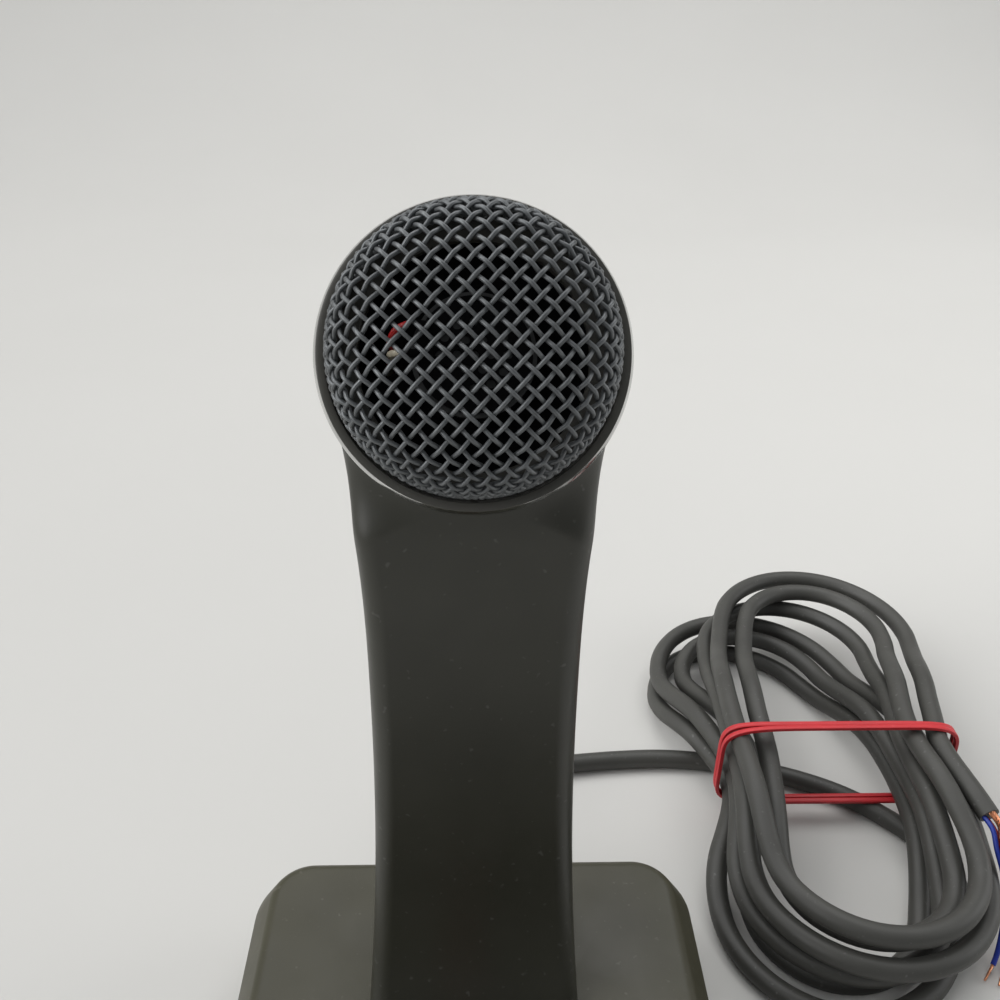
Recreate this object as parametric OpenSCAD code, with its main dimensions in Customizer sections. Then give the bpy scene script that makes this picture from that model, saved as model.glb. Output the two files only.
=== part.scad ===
// Desk paging microphone: woven-wire head on a waisted column, weighted plinth with a talk bar.
// Millimetres. X is right, Y is back, Z is up, and the origin is under the middle of the base.

/* [Base] */
// Width across the foot of the base
base_w = 112; // [106:1:124]
// Depth of the base, front to back
base_d = 146; // [140:1:160]
// Height of the flat top of the base above the table
base_h = 32; // [31:0.5:36]
// Height of the front edge of the top above the table
front_h = 22; // [21:0.5:24]
// Depth of the sloping front part of the top
slope_d = 64; // [62:0.5:66]
// Width of the bevel round the top, seen from above
bevel_in = 5.5; // [3:0.5:7]
// Height of the bevel round the top
bevel_down = 9; // [5:0.5:11]
// Corner radius of the base at its foot
corner_r = 15; // [11:0.5:18]
// Wall of the base cover
wall = 2.6; // [2:0.1:3]
// Height of the rubber feet
foot_h = 2.5; // [2.2:0.1:4]
// Radius of a rubber foot
foot_r = 8; // [6:0.5:9]
// Thickness of the steel base plate
plate_t = 3; // [2:0.5:3.5]

/* [Column] */
// Wall of the column shells
shell_t = 2.2; // [1.8:0.1:2.6]
// Half width of the column at its foot
foot_half_w = 23.6; // [22:0.1:26]
// Half width of the column at its waist
waist_half_w = 20.1; // [19:0.1:21]
// Height of the waist above the base
waist_h = 88; // [80:1:94]
// Height above the base where the column starts to lean into the head
lean_h = 118; // [114:1:126]
// Gap between the back of the base and the back of the column
back_gap = 10.5; // [9:0.5:13]
// Depth of the column under the head
column_depth = 29.5; // [28:0.5:32]
// How far the front of the foot sweeps forward
foot_sweep = 10; // [4:0.5:12]
// Edge radius of the column's flat front
front_edge_r = 4.5; // [3.5:0.5:6]
// Edge radius of the column's back
back_edge_r = 11; // [9:0.5:12]
// Seam between the column shells
seam = 0.15; // [0.1:0.05:0.3]

/* [Head] */
// Upward tilt of the head's axis
head_tilt = 30; // [26:1:34]
// Outer radius of the trim ring
ring_r = 26.5; // [26:0.1:27.5]
// How far the trim ring stands out of the shells
ring_out = 4; // [3.5:0.1:5]
// Radius of the wire dome
dome_r = 24; // [23.5:0.05:24.3]
// Height of the wire dome above its rim
dome_h = 19.5; // [18:0.5:21]
// Squareness of the dome's profile, 2 being an ellipse
dome_n = 3.4; // [2.6:0.1:3.6]
// Pitch of the wires in the dome's cloth
cloth_pitch = 2.28; // [2.2:0.02:2.5]
// Radius of a wire of the cloth
cloth_wire_r = 0.36; // [0.3:0.02:0.36]
// Radius of the microphone capsule
capsule_r = 10.5; // [9:0.5:11.5]
// Length of the microphone capsule
capsule_l = 15; // [12:0.5:17]

/* [Talk bar] */
// Width of the talk bar
bar_w = 68.8; // [64:0.2:70]
// Depth of the talk bar along the slope
bar_d = 36.2; // [35.4:0.2:37]
// How far the talk bar stands out of the slope
bar_out = 2.5; // [2:0.1:3.5]
// Wall of the talk bar
bar_wall = 2.4; // [2:0.1:2.8]
// Radius of the hinge pin
pin_r = 1.5; // [1.2:0.1:1.8]
// Running clearance of the talk bar on its pin
pin_play = 0.05; // [0.03:0.01:0.08]
// Gap between the talk bar and the sides of its opening
bar_gap = 0.6; // [0.5:0.1:0.9]
// Gap in front of the talk bar, which swings a little forward
bar_front_gap = 1.3; // [1.2:0.1:1.8]
// Distance from the hinge pin to the talk switch
switch_arm = 12; // [11.5:0.1:12.5]
// Free length of a talk bar spring as fitted
spring_l = 12; // [11:0.5:13]
// Mean radius of a talk bar spring
spring_r = 3.4; // [3.2:0.1:4]
// Wire radius of a talk bar spring
spring_wire = 0.4; // [0.3:0.05:0.5]
// Turns in a talk bar spring
spring_turns = 5; // [4:1:6]

/* [Lock switch] */
// Travel of the lock knob
lock_travel = 6; // [4:0.5:7]
// Length of the lock knob
lock_l = 11; // [9:0.5:12]
// Width of the lock knob
lock_w = 7.4; // [6:0.2:8]
// Height of the lock knob above the base
lock_out = 2.6; // [2:0.1:4]

/* [Cable] */
// Diameter of the cable
cable_d = 6; // [5.6:0.1:6.2]
// Height of the cable hole in the back of the base
cable_z = 13; // [12.5:0.5:14]
// Length of the strain relief outside the base
relief_l = 26; // [24:1:28]
// Step between the layers of the cable hank
layer_step = 7; // [6.9:0.1:7.4]

/* [Hidden] */
$fn = 64;

// General clearances: a loose fit, a rest gap between moving faces and a small overrun for cuts
fit = 0.2;
rest_gap = 0.3;
over = 1;

// Levels in the base, from the table up
half_w = base_w / 2;
half_d = base_d / 2;
plate_top = foot_h + plate_t;
slope_front_y = -half_d + bevel_in;
ridge_y = -half_d + slope_d;
slope_run = ridge_y - slope_front_y;
slope_drop = base_h - front_h;
slope_a = atan(slope_drop / slope_run);
function slope_z(y) = base_h + (y - ridge_y) * tan(slope_a);

// Places of the feet and of the screws that hold the base plate
foot_in = 13;
foot_x = half_w - foot_in;
foot_y = half_d - foot_in - 2;
boss_r = 4;
boss_x = half_w - foot_in;
boss_y = half_d - 35;
corners = [[-1, -1], [1, -1], [-1, 1], [1, 1]];

// Screws: shank and head of the two sizes in use, and the play of a shank in its hole
screw_r = 1.5;
screw_head_r = 3;
screw_head_h = 1.8;
small_screw_r = 1.1;
small_head_r = 2.1;
small_head_h = 1.3;
screw_play = 0.05;
recess_w = 0.7;
bottom_shank = 12;

// Talk bar in the frame of the slope: opening, pin, lugs and stroke
bar_rear = 12.6;
bar_front = bar_rear + bar_d;
open_rear = bar_rear - bar_gap;
open_front = bar_front + bar_front_gap;
open_half_w = bar_w / 2 + bar_gap;
bar_skirt = 5;
bar_edge_r = 1.6;
dish_r = 70;
dish_deep = 0.8;
pin_back = 3.6;
pin_s = bar_rear + pin_back;
pin_drop = 6.5;
pin_y = ridge_y - pin_s * cos(slope_a) + pin_drop * sin(slope_a);
pin_z = base_h - pin_s * sin(slope_a) - pin_drop * cos(slope_a);
lug_r = 3.3;
lug_w = 5;
lug_in = 1.5;
lug_x = bar_w / 2 - bar_wall - lug_in - lug_w / 2;
spring_in = 6.4;
spring_x = bar_w / 2 - spring_in;
cheek_w = 4;
cheek_half = 4.5;
pin_l = 2 * (open_half_w + rest_gap + cheek_w) - 1;

// Switch board under the talk bar, with its switch, plunger and terminals
spacer_h = 4;
board_t = 1.6;
board_side = 6;
board_z = plate_top + spacer_h;
board_top = board_z + board_t;
board_half_w = spring_x - board_side;
switch_y = pin_y - switch_arm;
switch_size = [12.8, 5.8, 6.5];
switch_top = board_top + switch_size[2];
plunger_r = 1.2;
plunger_play = 0.1;
plunger_out = 1.4;
plunger_in = 2.4;
plunger_well = 4.6;
plunger_top = switch_top + plunger_out;
actuator_r = 2.2;
terminal_size = [22, 7, 8];
terminal_ahead = 4;
terminal_y = pin_y - terminal_ahead;
terminal_pitch = 5;
terminal_hole_r = 1.1;
terminal_z = board_top + terminal_size[2] * 0.6;
board_lead = 16;
board_front = switch_y - board_lead;
board_rear = pin_y + 1;
board_screw_in = 3;
board_screw_x = board_half_w - board_screw_in;
board_holes = [for (side = [-1, 1], y = [board_front + board_screw_in, board_rear - board_screw_in])
    [side * board_screw_x, y]];

// Talk bar springs stand on the base plate, outside the board
spring_arm = 22;
spring_y = pin_y - spring_arm;
spring_pad_r = spring_r + 1.2;
spring_pip_r = spring_r - spring_wire - 0.5;
spring_pip_h = 2;
spring_top = plate_top + spring_l;

// Front and back lines of the column
column_back_y = half_d - back_gap;
column_back_lean = 1;
column_front_y = column_back_y + column_back_lean - column_depth;

// Lock switch under the flat top, midway from the ridge to the column, with its knob in a shallow recess
lock_y = lerp(ridge_y, column_front_y - foot_sweep, 0.5);
lock_side_gap = 0.6;
lock_recess = 1.2;
lock_recess_l = lock_l + lock_travel + 2 * lock_side_gap;
lock_recess_w = lock_w + 2 * lock_side_gap;
lock_stem = [4, 3];
lock_slot_l = lock_stem[0] + lock_travel + 2 * lock_side_gap;
lock_slot_w = lock_stem[1] + 2 * lock_side_gap;
lock_body = [lock_slot_l + 8, lock_w + 1, 9];
lock_boss_h = 4;
lock_boss_r = 3.4;
lock_ear_t = 1.2;
lock_ear_x = lock_body[0] / 2 + lock_boss_r + 0.6;
lock_top = base_h - wall;
lock_slot_deep = 5;
lock_grooves = 3;
wire_floor = lock_top - lock_body[2] - 3.4;

// Column: the fan of sections that turns it into the head
fan_a = 90 - head_tilt;
shell_top_r = ring_r - 0.5;
fan_near = 10.1;
fan_far = fan_near + 2 * shell_top_r;
pivot_y = column_front_y - 6;
pivot_z = base_h + lean_h;
fan_steps = 10;
lift_steps = 13;
edge_steps = 6;
fan_length = 30;
flare = 2.6;
edge_grow = 3;
front_flare = 5;
lift_run = (lean_h - waist_h) / (lean_h - waist_h + fan_length);
lift_slope = flare * pow(lift_run, flare - 1) * (shell_top_r - waist_half_w) / (lean_h - waist_h + fan_length);
front_slope = lift_slope * (column_front_y - pivot_y) * fan_a * PI / 180;
head_dir = [0, cos(fan_a), sin(fan_a)];
head_axis = [0, -sin(fan_a), cos(fan_a)];
head_c = [0, pivot_y, pivot_z] + (fan_near + shell_top_r) * head_dir;

// Parts that hold the column together and to the base
block_half = [15, 12];
block_h = 14;
block_back = 18;
block_y = column_back_y - block_back;
wire_hole_r = 5;
column_screw_x = 10;
tower_r = 4;
tower_hs = [38, 98];
block_tower_h = 7;
tower_floor = 3;

// Trim ring, capsule holder and capsule, measured along the head's axis
ring_bevel = [0.65, 1.4];
ledge_z = 0.6;
ledge_low = -1.5;
ledge_in_r = 19.5;
spigot_z = -4;
spigot_play = 1.5;
spigot_r = shell_top_r - shell_t - spigot_play;
spigot_in_r = spigot_r - 2;
rim_z = 3;
dome_gap = 0.45;
dome_steps = 22;
cloth_layer = 1.2;
cloth_step = 3.6;
cloth_share = 0.9;
cloth_turn = 47;
holder_r = spigot_in_r - fit;
holder_t = 2;
collar_r = capsule_r + 3;
collar_l = 8;
screen_t = 1.2;
capsule_back = -13;
capsule_front = capsule_back + capsule_l;
shock_t = 1.5;
wire_r = 0.55;
wire_solder_r = 9.1;
wire_crest = 2.6;
wire_loop = 2.6;
wire_port_r = 3.6;
port_rim = 0.5;
wire_port_x = wire_port_r + port_rim - holder_r;
wire_drop_x = wire_port_x + 2.2;
wire_gap = 0.1;
red_up = 4.5;
white_up = -0.2;
wire_lane_y = block_y - 2;
wire_bend = 5;
wire_lift = 0.5;

// Strain relief and clamp at the back of the base
relief_neck_r = 4.9;
relief_flange_r = 7;
relief_flange_t = 2.2;
relief_root_r = 5.8;
relief_tip_r = 4.3;
relief_ribs = 4;
relief_end_y = half_d + relief_l;
relief_in_y = half_d - wall - relief_flange_t;
cable_r = cable_d / 2;
tail_l = 15;
tail_end_y = relief_in_y - tail_l;
clamp_half = [11, 4];
clamp_y = relief_in_y - 8;
clamp_top = cable_z + cable_r + 2.4;
clamp_screw_x = 7;
core_r = 0.7;
core_pitch = 1.8;
core_bend = 6;
core_fall = 16;
core_lane = 3;
core_lift = 3.5;
core_z = plate_top + 4;

// Route of the cable on the table, from the strain relief to the hank
lead_route = [
    [0, 106, 13], [1.5, 113.5, 11.7], [6, 120.5, 9], [13, 126, 6.4], [22, 129.5, 4.4], [33, 131.5, 3.3],
    [47, 133, 3.1], [62, 133.5, 3.1], [77, 132, 3.1], [92, 128.5, 3.1], [106, 123.5, 3.1], [118, 117, 3.1],
    [128, 108.5, 3.1], [135.5, 99.5, 3.1], [139.8, 90.5, 3.1], [141, 82, 3.1]
];

// Cable hank: its layers bow apart on both sides of the tie, climb on every third run and spiral in and out
hank_x = 109;
hank_y = 112;
hank_z = cable_r + 0.1;
hank_r = 22;
hank_spread = 13;
hank_draw = 2;
hank_draw_l = 26;
hank_near_bow = [-0.62, -0.4, -0.08, 0.12];
hank_far_bow = [-0.65, -0.4, 0.14, 0.38];
hank_soft = 40;
hank_far = [46, 52, 58, 62];
hank_near = 34;
hank_petals = 12;
hank_climb = 3;
climb_share = 0.14;
hank_rise = 8.4;
hank_flat = 17;
hank_flat_back = 4;
hank_ramp = 36;
hank_start = 0.2;
hank_end = 11.94;
hank_rings = 12;
hank_sides = 6;
hank_fine = 48;
hank_share = 4;

// Loose end of the cable beside the hank, and its bare cores
end_route = [[140.6, 103, 32], [141.6, 96, 31.7], [142.9, 89.5, 31], [144.4, 83.5, 29.6]];
red_route = [[145.8, 74.5, 23.2], [146.8, 68.5, 15.5], [145.8, 62.5, 7.8], [143.4, 56.5, 2.4], [140, 51.5, 0.8]];
blue_route = [[143.8, 75.5, 25.7], [144.8, 69.5, 19.5], [143.9, 63.5, 11.5], [141, 57.5, 4], [136.8, 53, 0.8]];
white_route = [[148, 75.5, 24.4], [149, 69, 16.2], [148.3, 62, 7.5], [146.4, 55.5, 2], [143.4, 49.5, 0.8]];
braid_route = [[145.6, 76.5, 28], [146.4, 72.5, 24.6]];
braid_r = 1.1;
core_spread = 1.7;

// Rubber band round the middle of the hank
band_t = 1.2;
band_w = 3.4;
band_gap = 1;
band_corner = 5;

// Shapes used by several parts

module on_slope() {
    translate([0, ridge_y, base_h]) rotate([slope_a, 0, 0]) children();
}

module on_head() {
    translate(head_c) rotate([fan_a, 0, 0]) children();
}

module along_y(y) {
    translate([0, y, 0]) rotate([-90, 0, 0]) children();
}

// Bar of round corners, seen from above
module round_plate(half_x, half_y, r, h) {
    linear_extrude(h) {
        square([2 * half_x, 2 * (half_y - r)], center = true);
        square([2 * (half_x - r), 2 * half_y], center = true);
        for (c = corners) translate([c[0] * (half_x - r), c[1] * (half_y - r)]) circle(r);
    }
}

// Screw with its head's underside at z = 0, shank up
module screw(shank, r, head_r, head_h) {
    difference() {
        union() {
            translate([0, 0, -head_h]) cylinder(h = head_h, r = head_r);
            cylinder(h = shank, r = r);
        }
        for (a = [0, 90]) rotate([0, 0, a])
            translate([-head_r * 0.6, -recess_w / 2, -head_h - over])
                cube([head_r * 1.2, recess_w, head_h * 0.5 + over]);
    }
}

// Solid plinth: flat at the back, sloping at the front, bevelled all round
module plinth(inset, top_inset, bottom) {
    foot_rad = corner_r - inset;
    top_rad = corner_r - bevel_in - inset;
    x_in = half_w - corner_r;
    y_in = half_d - corner_r;
    mid_z = base_h - bevel_down - inset / 2;
    top_z = base_h - top_inset;
    thin = 0.01;
    hull() {
        for (c = corners)
            translate([c[0] * x_in, c[1] * y_in, bottom]) cylinder(h = thin, r = foot_rad, $fn = 32);
        for (side = [-1, 1]) {
            translate([side * x_in, y_in, mid_z - thin]) cylinder(h = thin, r = foot_rad, $fn = 32);
            translate([side * x_in, y_in, top_z - thin]) cylinder(h = thin, r = top_rad, $fn = 32);
            translate([side * x_in, -y_in, slope_z(-y_in) - bevel_down - inset / 2])
                rotate([slope_a, 0, 0]) translate([0, 0, -thin]) cylinder(h = thin, r = foot_rad, $fn = 32);
            translate([side * x_in, -y_in, slope_z(-y_in) - top_inset])
                rotate([slope_a, 0, 0]) translate([0, 0, -thin]) cylinder(h = thin, r = top_rad, $fn = 32);
        }
        translate([-half_w + inset, ridge_y, mid_z - thin]) cube([base_w - 2 * inset, thin, thin]);
        translate([-half_w + bevel_in + inset, ridge_y, top_z - thin])
            cube([base_w - 2 * (bevel_in + inset), thin, thin]);
    }
}

// Tube swept along points
function unit(v) = v / norm(v);
function ease(t) = let (c = min(max(t, 0), 1)) c * c * (3 - 2 * c);
function heading(path, i) = unit(path[min(i + 1, len(path) - 1)] - path[max(i - 1, 0)]);
function side_of(t, side) = unit(side - (side * t) * t);
function ring_points(c, t, side, r, sides) =
    let (u = side, v = cross(t, u))
    [for (k = [0:sides - 1]) c + r * (cos(360 * (k + 0.5) / sides) * u + sin(360 * (k + 0.5) / sides) * v)];
function ring_faces(rings, sides) = concat(
    [for (k = [1:sides - 2]) [0, k, k + 1]],
    [for (i = [0:rings - 2], k = [0:sides - 1])
        let (a = i * sides + k, b = i * sides + (k + 1) % sides)
        each [[a, a + sides, b], [b, a + sides, b + sides]]],
    [for (k = [1:sides - 2]) let (e = (rings - 1) * sides) [e, e + k + 1, e + k]]
);

// Side directions carried along the path without twist
function carry(path, i, side) =
    i == len(path) ? [] :
    let (u = side_of(heading(path, i), side)) concat([u], carry(path, i + 1, u));

module tube(path, r, sides) {
    turns = carry(path, 0, [0, 0, 1]);
    points = [for (i = [0:len(path) - 1]) each ring_points(path[i], heading(path, i), turns[i], r, sides)];
    polyhedron(points, ring_faces(len(path), sides));
}

// Base

module base_cover() {
    color([0.31, 0.3, 0.27]) difference() {
        union() {
            difference() {
                plinth(0, 0, foot_h);
                plinth(wall, wall, foot_h - over);
            }
            for (c = corners) translate([c[0] * boss_x, c[1] * boss_y, plate_top])
                cylinder(h = min(base_h, slope_z(c[1] * boss_y)) - wall / 2 - plate_top, r = boss_r);
            for (side = [-1, 1]) on_slope()
                translate([side * (open_half_w + rest_gap + cheek_w / 2) - cheek_w / 2,
                           -pin_s - cheek_half, -pin_drop - cheek_half])
                    cube([cheek_w, 2 * cheek_half, pin_drop + cheek_half - wall / 2]);
            for (side = [-1, 1]) translate([side * lock_ear_x, lock_y, lock_top - lock_boss_h])
                cylinder(h = lock_boss_h + wall / 2, r = lock_boss_r);
        }
        for (c = corners) translate([c[0] * boss_x, c[1] * boss_y, plate_top - over])
            cylinder(h = over + bottom_shank - plate_t + 1, r = screw_r + screw_play);
        on_slope() translate([-open_half_w, -open_front, -wall - over])
            cube([2 * open_half_w, open_front - open_rear, wall + 2 * over]);
        translate([-pin_l / 2, pin_y, pin_z]) rotate([0, 90, 0]) cylinder(h = pin_l, r = pin_r + screw_play);
        translate([-lock_recess_l / 2, lock_y - lock_recess_w / 2, base_h - lock_recess])
            cube([lock_recess_l, lock_recess_w, lock_recess + over]);
        translate([-lock_slot_l / 2, lock_y - lock_slot_w / 2, lock_top - over])
            cube([lock_slot_l, lock_slot_w, wall + 2 * over]);
        for (side = [-1, 1]) translate([side * lock_ear_x, lock_y, lock_top - lock_boss_h - over])
            cylinder(h = over + lock_boss_h - 0.6, r = small_screw_r + screw_play);
        translate([0, block_y, base_h - wall - over]) cylinder(h = wall + 2 * over, r = wire_hole_r);
        for (side = [-1, 1]) translate([side * column_screw_x, block_y, base_h - wall - over])
            cylinder(h = wall + 2 * over, r = screw_r + fit);
        translate([0, 0, cable_z]) along_y(half_d - wall - over)
            cylinder(h = wall + 2 * over, r = relief_neck_r + screw_play);
    }
}

module base_plate() {
    color("silver") difference() {
        union() {
            translate([0, 0, foot_h])
                round_plate(half_w - wall - rest_gap, half_d - wall - rest_gap, corner_r - wall - rest_gap, plate_t);
            for (side = [-1, 1]) translate([side * spring_x, spring_y, foot_h])
                cylinder(h = plate_t + spring_pip_h, r = spring_pip_r);
        }
        for (c = corners) translate([c[0] * boss_x, c[1] * boss_y, foot_h - over])
            cylinder(h = plate_t + 2 * over, r = screw_r + fit);
        for (p = board_holes) translate([p[0], p[1], foot_h - over])
            cylinder(h = plate_t + 2 * over, r = small_screw_r + screw_play);
        for (side = [-1, 1]) translate([side * clamp_screw_x, clamp_y, foot_h - over])
            cylinder(h = plate_t + 2 * over, r = small_screw_r + screw_play);
    }
}

module rubber_feet() {
    color([0.1, 0.1, 0.1]) for (c = corners) translate([c[0] * foot_x, c[1] * foot_y, 0])
        rotate_extrude() polygon([[0, 0], [foot_r - 0.6, 0], [foot_r, 0.6], [foot_r, foot_h], [0, foot_h]]);
}

module bottom_screws() {
    color("silver") for (c = corners) translate([c[0] * boss_x, c[1] * boss_y, foot_h])
        screw(bottom_shank, screw_r, screw_head_r, screw_head_h);
}

// Column: each section lies in a plane through its front and back points and is as wide as the column there

// Front and back points of the section at a height above the base, below the lean
function front_at(h) = column_front_y - foot_sweep * pow(1 - h / lean_h, 6);
function back_at(h) = column_back_y + column_back_lean * pow(h / lean_h, 2);
function lower_half_w(h) = waist_half_w + (foot_half_w - waist_half_w) * pow((waist_h - h) / waist_h, 2);
function upper_half_w(run) = waist_half_w + (shell_top_r - waist_half_w) * pow(run, flare);
function front_half_w(s) =
    let (w = upper_half_w(lift_run))
    w + front_slope * s + (shell_top_r - w - front_slope) * pow(s, front_flare);

// A station is [plane angle, near end, depth, half width, share of the way from column to head, half width
// at the front edges]
function lift_station(i) =
    let (h = lean_h * i / lift_steps)
    let (run = (h - waist_h) / (lean_h - waist_h + fan_length))
    let (w = h < waist_h ? lower_half_w(h) : upper_half_w(run))
    [0, [front_at(h), base_h + h], back_at(h) - front_at(h), w, 0, w];
function fan_station(i) =
    let (s = i / fan_steps, a = fan_a * s)
    let (near = lerp((column_front_y - pivot_y) / cos(a), fan_near, pow(s, 8)))
    let (far = lerp((back_at(lean_h) - pivot_y) / cos(a), fan_far, s * s))
    [a, [pivot_y + near * cos(a), pivot_z + near * sin(a)], far - near,
     upper_half_w(lerp(lift_run, 1, s)), s, front_half_w(s)];
function lerp(a, b, s) = a + (b - a) * s;
stations = concat([for (i = [0:lift_steps]) lift_station(i)], [for (i = [1:fan_steps]) fan_station(i)]);

// Section outline in its own plane: across, and back from the near end; inset gives the inner face
function edge_r(flat_r, s) = lerp(flat_r, shell_top_r, pow(s, edge_grow));
function arc(c, r, from, to) = [for (i = [0:edge_steps]) c + r * [cos(lerp(from, to, i / edge_steps)),
                                                                  sin(lerp(from, to, i / edge_steps))]];
function seam_depth(st) =
    let (f = edge_r(front_edge_r, st[4]), b = edge_r(back_edge_r, st[4]))
    f + (st[2] - f - b) / 2;
function front_outline(st, inset) =
    let (r = edge_r(front_edge_r, st[4]), w = st[3], e = st[5] - r, q = seam_depth(st) - seam / 2)
    concat([[-w + inset, q]], arc([-e, r], r - inset, 180, 270), arc([e, r], r - inset, 270, 360),
           [[w - inset, q]]);
function back_outline(st, inset) =
    let (r = edge_r(back_edge_r, st[4]), w = st[3], q = seam_depth(st) + seam / 2, d = st[2])
    concat([[w - inset, q]], arc([w - r, d - r], r - inset, 0, 90), arc([-w + r, d - r], r - inset, 90, 180),
           [[-w + inset, q]]);
function in_space(st, p) = [p[0], st[1][0] + p[1] * cos(st[0]), st[1][1] + p[1] * sin(st[0])];

// Open channel lofted through all stations: outer points one way round, inner points back
module channel(outer, inner) {
    n = len(outer[0]);
    ring = 2 * n;
    m = len(outer);
    points = [for (i = [0:m - 1]) each concat(
        [for (p = outer[i]) in_space(stations[i], p)],
        [for (k = [n - 1:-1:0]) in_space(stations[i], inner[i][k])])];
    sides = [for (i = [0:m - 2], k = [0:ring - 1])
        let (a = i * ring + k, b = i * ring + (k + 1) % ring)
        each [[a, a + ring, b], [b, a + ring, b + ring]]];
    cap = [for (k = [0:n - 2]) each [[k, k + 1, ring - 2 - k], [k, ring - 2 - k, ring - 1 - k]]];
    top = (m - 1) * ring;
    polyhedron(points, concat(sides, cap, [for (f = cap) [top + f[0], top + f[2], top + f[1]]]));
}

module column_front() {
    color([0.18, 0.18, 0.17]) difference() {
        union() {
            channel([for (st = stations) front_outline(st, 0)], [for (st = stations) front_outline(st, shell_t)]);
            for (h = tower_hs) translate([0, 0, base_h + h]) along_y(front_at(h) + shell_t / 2)
                cylinder(h = tower_seam(h) - seam - front_at(h) - shell_t / 2, r = tower_r);
        }
        for (h = tower_hs) translate([0, 0, base_h + h]) along_y(front_at(h) + shell_t + over)
            cylinder(h = tower_seam(h) - front_at(h), r = screw_r + screw_play);
    }
}

// Where the screw towers of the two shells meet
function tower_seam(h) = lerp(front_at(h), back_at(h), 0.5);

module column_rear() {
    color([0.18, 0.18, 0.17]) difference() {
        union() {
            channel([for (st = stations) back_outline(st, 0)], [for (st = stations) back_outline(st, shell_t)]);
            for (h = tower_hs) rear_tower(h, tower_seam(h) + seam, tower_r + 0.6);
            rear_tower(block_tower_h, block_y + block_half[1] + fit, tower_r + 0.6);
        }
        for (h = tower_hs) rear_bore(h, tower_seam(h) + seam);
        rear_bore(block_tower_h, block_y + block_half[1] + fit);
    }
}

module rear_tower(h, y, r) {
    translate([0, 0, base_h + h]) along_y(y) cylinder(h = back_at(h) - shell_t / 2 - y, r = r);
}

module rear_bore(h, y) {
    translate([0, 0, base_h + h]) along_y(y - over) cylinder(h = tower_floor + 2 * over, r = screw_r + fit);
    translate([0, 0, base_h + h]) along_y(y + tower_floor)
        cylinder(h = back_at(h) - y, r = screw_head_r + fit);
}

module column_foot() {
    color([0.2, 0.2, 0.2]) difference() {
        translate([-block_half[0], block_y - block_half[1], base_h])
            cube([2 * block_half[0], 2 * block_half[1], block_h]);
        translate([0, block_y - 2, base_h - over]) cylinder(h = block_h + 2 * over, r = wire_hole_r);
        for (side = [-1, 1]) translate([side * column_screw_x, block_y, base_h - over])
            cylinder(h = block_h - 2, r = screw_r + screw_play);
        translate([0, 0, base_h + block_tower_h]) along_y(block_y + wire_hole_r - 1)
            cylinder(h = block_half[1], r = screw_r + screw_play);
    }
}

module column_screws() {
    color("silver") for (side = [-1, 1]) translate([side * column_screw_x, block_y, base_h - wall])
        screw(wall + block_h - 5, screw_r, screw_head_r, screw_head_h);
}

module rear_screws() {
    color("silver") {
        for (h = tower_hs) rear_screw(h, tower_seam(h) + seam, 10);
        rear_screw(block_tower_h, block_y + block_half[1] + fit, 7);
    }
}

module rear_screw(h, y, grip) {
    translate([0, y + tower_floor, base_h + h]) rotate([90, 0, 0])
        screw(tower_floor + grip, screw_r, screw_head_r, screw_head_h);
}

// Head

module head_ring() {
    face_r = ring_r - ring_bevel[0];
    seat_r = dome_r + dome_gap;
    color([0.16, 0.16, 0.15]) on_head() rotate_extrude() polygon([
        [ledge_in_r, ledge_z], [seat_r, ledge_z], [seat_r, ring_out], [face_r, ring_out],
        [ring_r, ring_out - ring_bevel[1]], [ring_r, 0], [spigot_r, 0], [spigot_r, spigot_z],
        [spigot_in_r, spigot_z], [spigot_in_r, ledge_low], [ledge_in_r, ledge_low]
    ]);
}

// Dome profile at an angle from the rim: a superellipse of the given size
function dome_at(r, h, a) = [r * pow(cos(a), 2 / dome_n), rim_z + h * pow(sin(a), 2 / dome_n)];

// Line of a cloth layer from the crown down to the seat, and the length run along it
function cloth_line(inset) = concat(
    [for (i = [0:dome_steps]) dome_at(dome_r - inset, dome_h - inset, 90 - 90 * i / dome_steps)],
    [[dome_r - inset, ledge_z + cloth_wire_r + wire_gap]]);
function run_at(line, i) = i == 0 ? 0 : run_at(line, i - 1) + norm(line[i] - line[i - 1]);

// Point of the flat cloth, t along a wire and c across the wires, pressed onto the dome
function cloth_point(t, c, turn, radii, heights) =
    let (flat = [t * cos(turn) - c * sin(turn), t * sin(turn) + c * cos(turn)], run = max(norm(flat), 0.001))
    let (r = lookup(run, radii))
    head_point([r * flat[0] / run, r * flat[1] / run, lookup(run, heights)]);

// All wires of a layer, end to end: each one crosses the dome and turns back at the seat, out of sight
function cloth_path(inset, turn) =
    let (line = cloth_line(inset))
    let (radii = [for (i = [0:len(line) - 1]) [run_at(line, i), line[i][0]]])
    let (heights = [for (i = [0:len(line) - 1]) [run_at(line, i), line[i][1]]])
    let (reach = radii[len(line) - 1][0], count = floor(cloth_share * reach / cloth_pitch))
    let (half = [for (i = [-count:count]) sqrt(reach * reach - pow(i * cloth_pitch, 2))])
    [for (i = [0:2 * count])
        let (c = (i - count) * cloth_pitch, n = ceil(2 * half[i] / cloth_step), way = i % 2 == 0 ? 1 : -1)
        let (next = i < 2 * count ? (half[i] + half[i + 1]) / 2 : half[i])
        each concat(
            [for (k = [0:n]) cloth_point(way * half[i] * (2 * k / n - 1), c, turn, radii, heights)],
            i < 2 * count ? [cloth_point(way * next, c + cloth_pitch / 2, turn, radii, heights)] : [])];

module head_grille() {
    color([0.33, 0.34, 0.35]) {
        tube(cloth_path(cloth_wire_r, cloth_turn), cloth_wire_r, 4);
        tube(cloth_path(cloth_wire_r + cloth_layer, cloth_turn + 90), cloth_wire_r, 4);
    }
}

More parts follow.
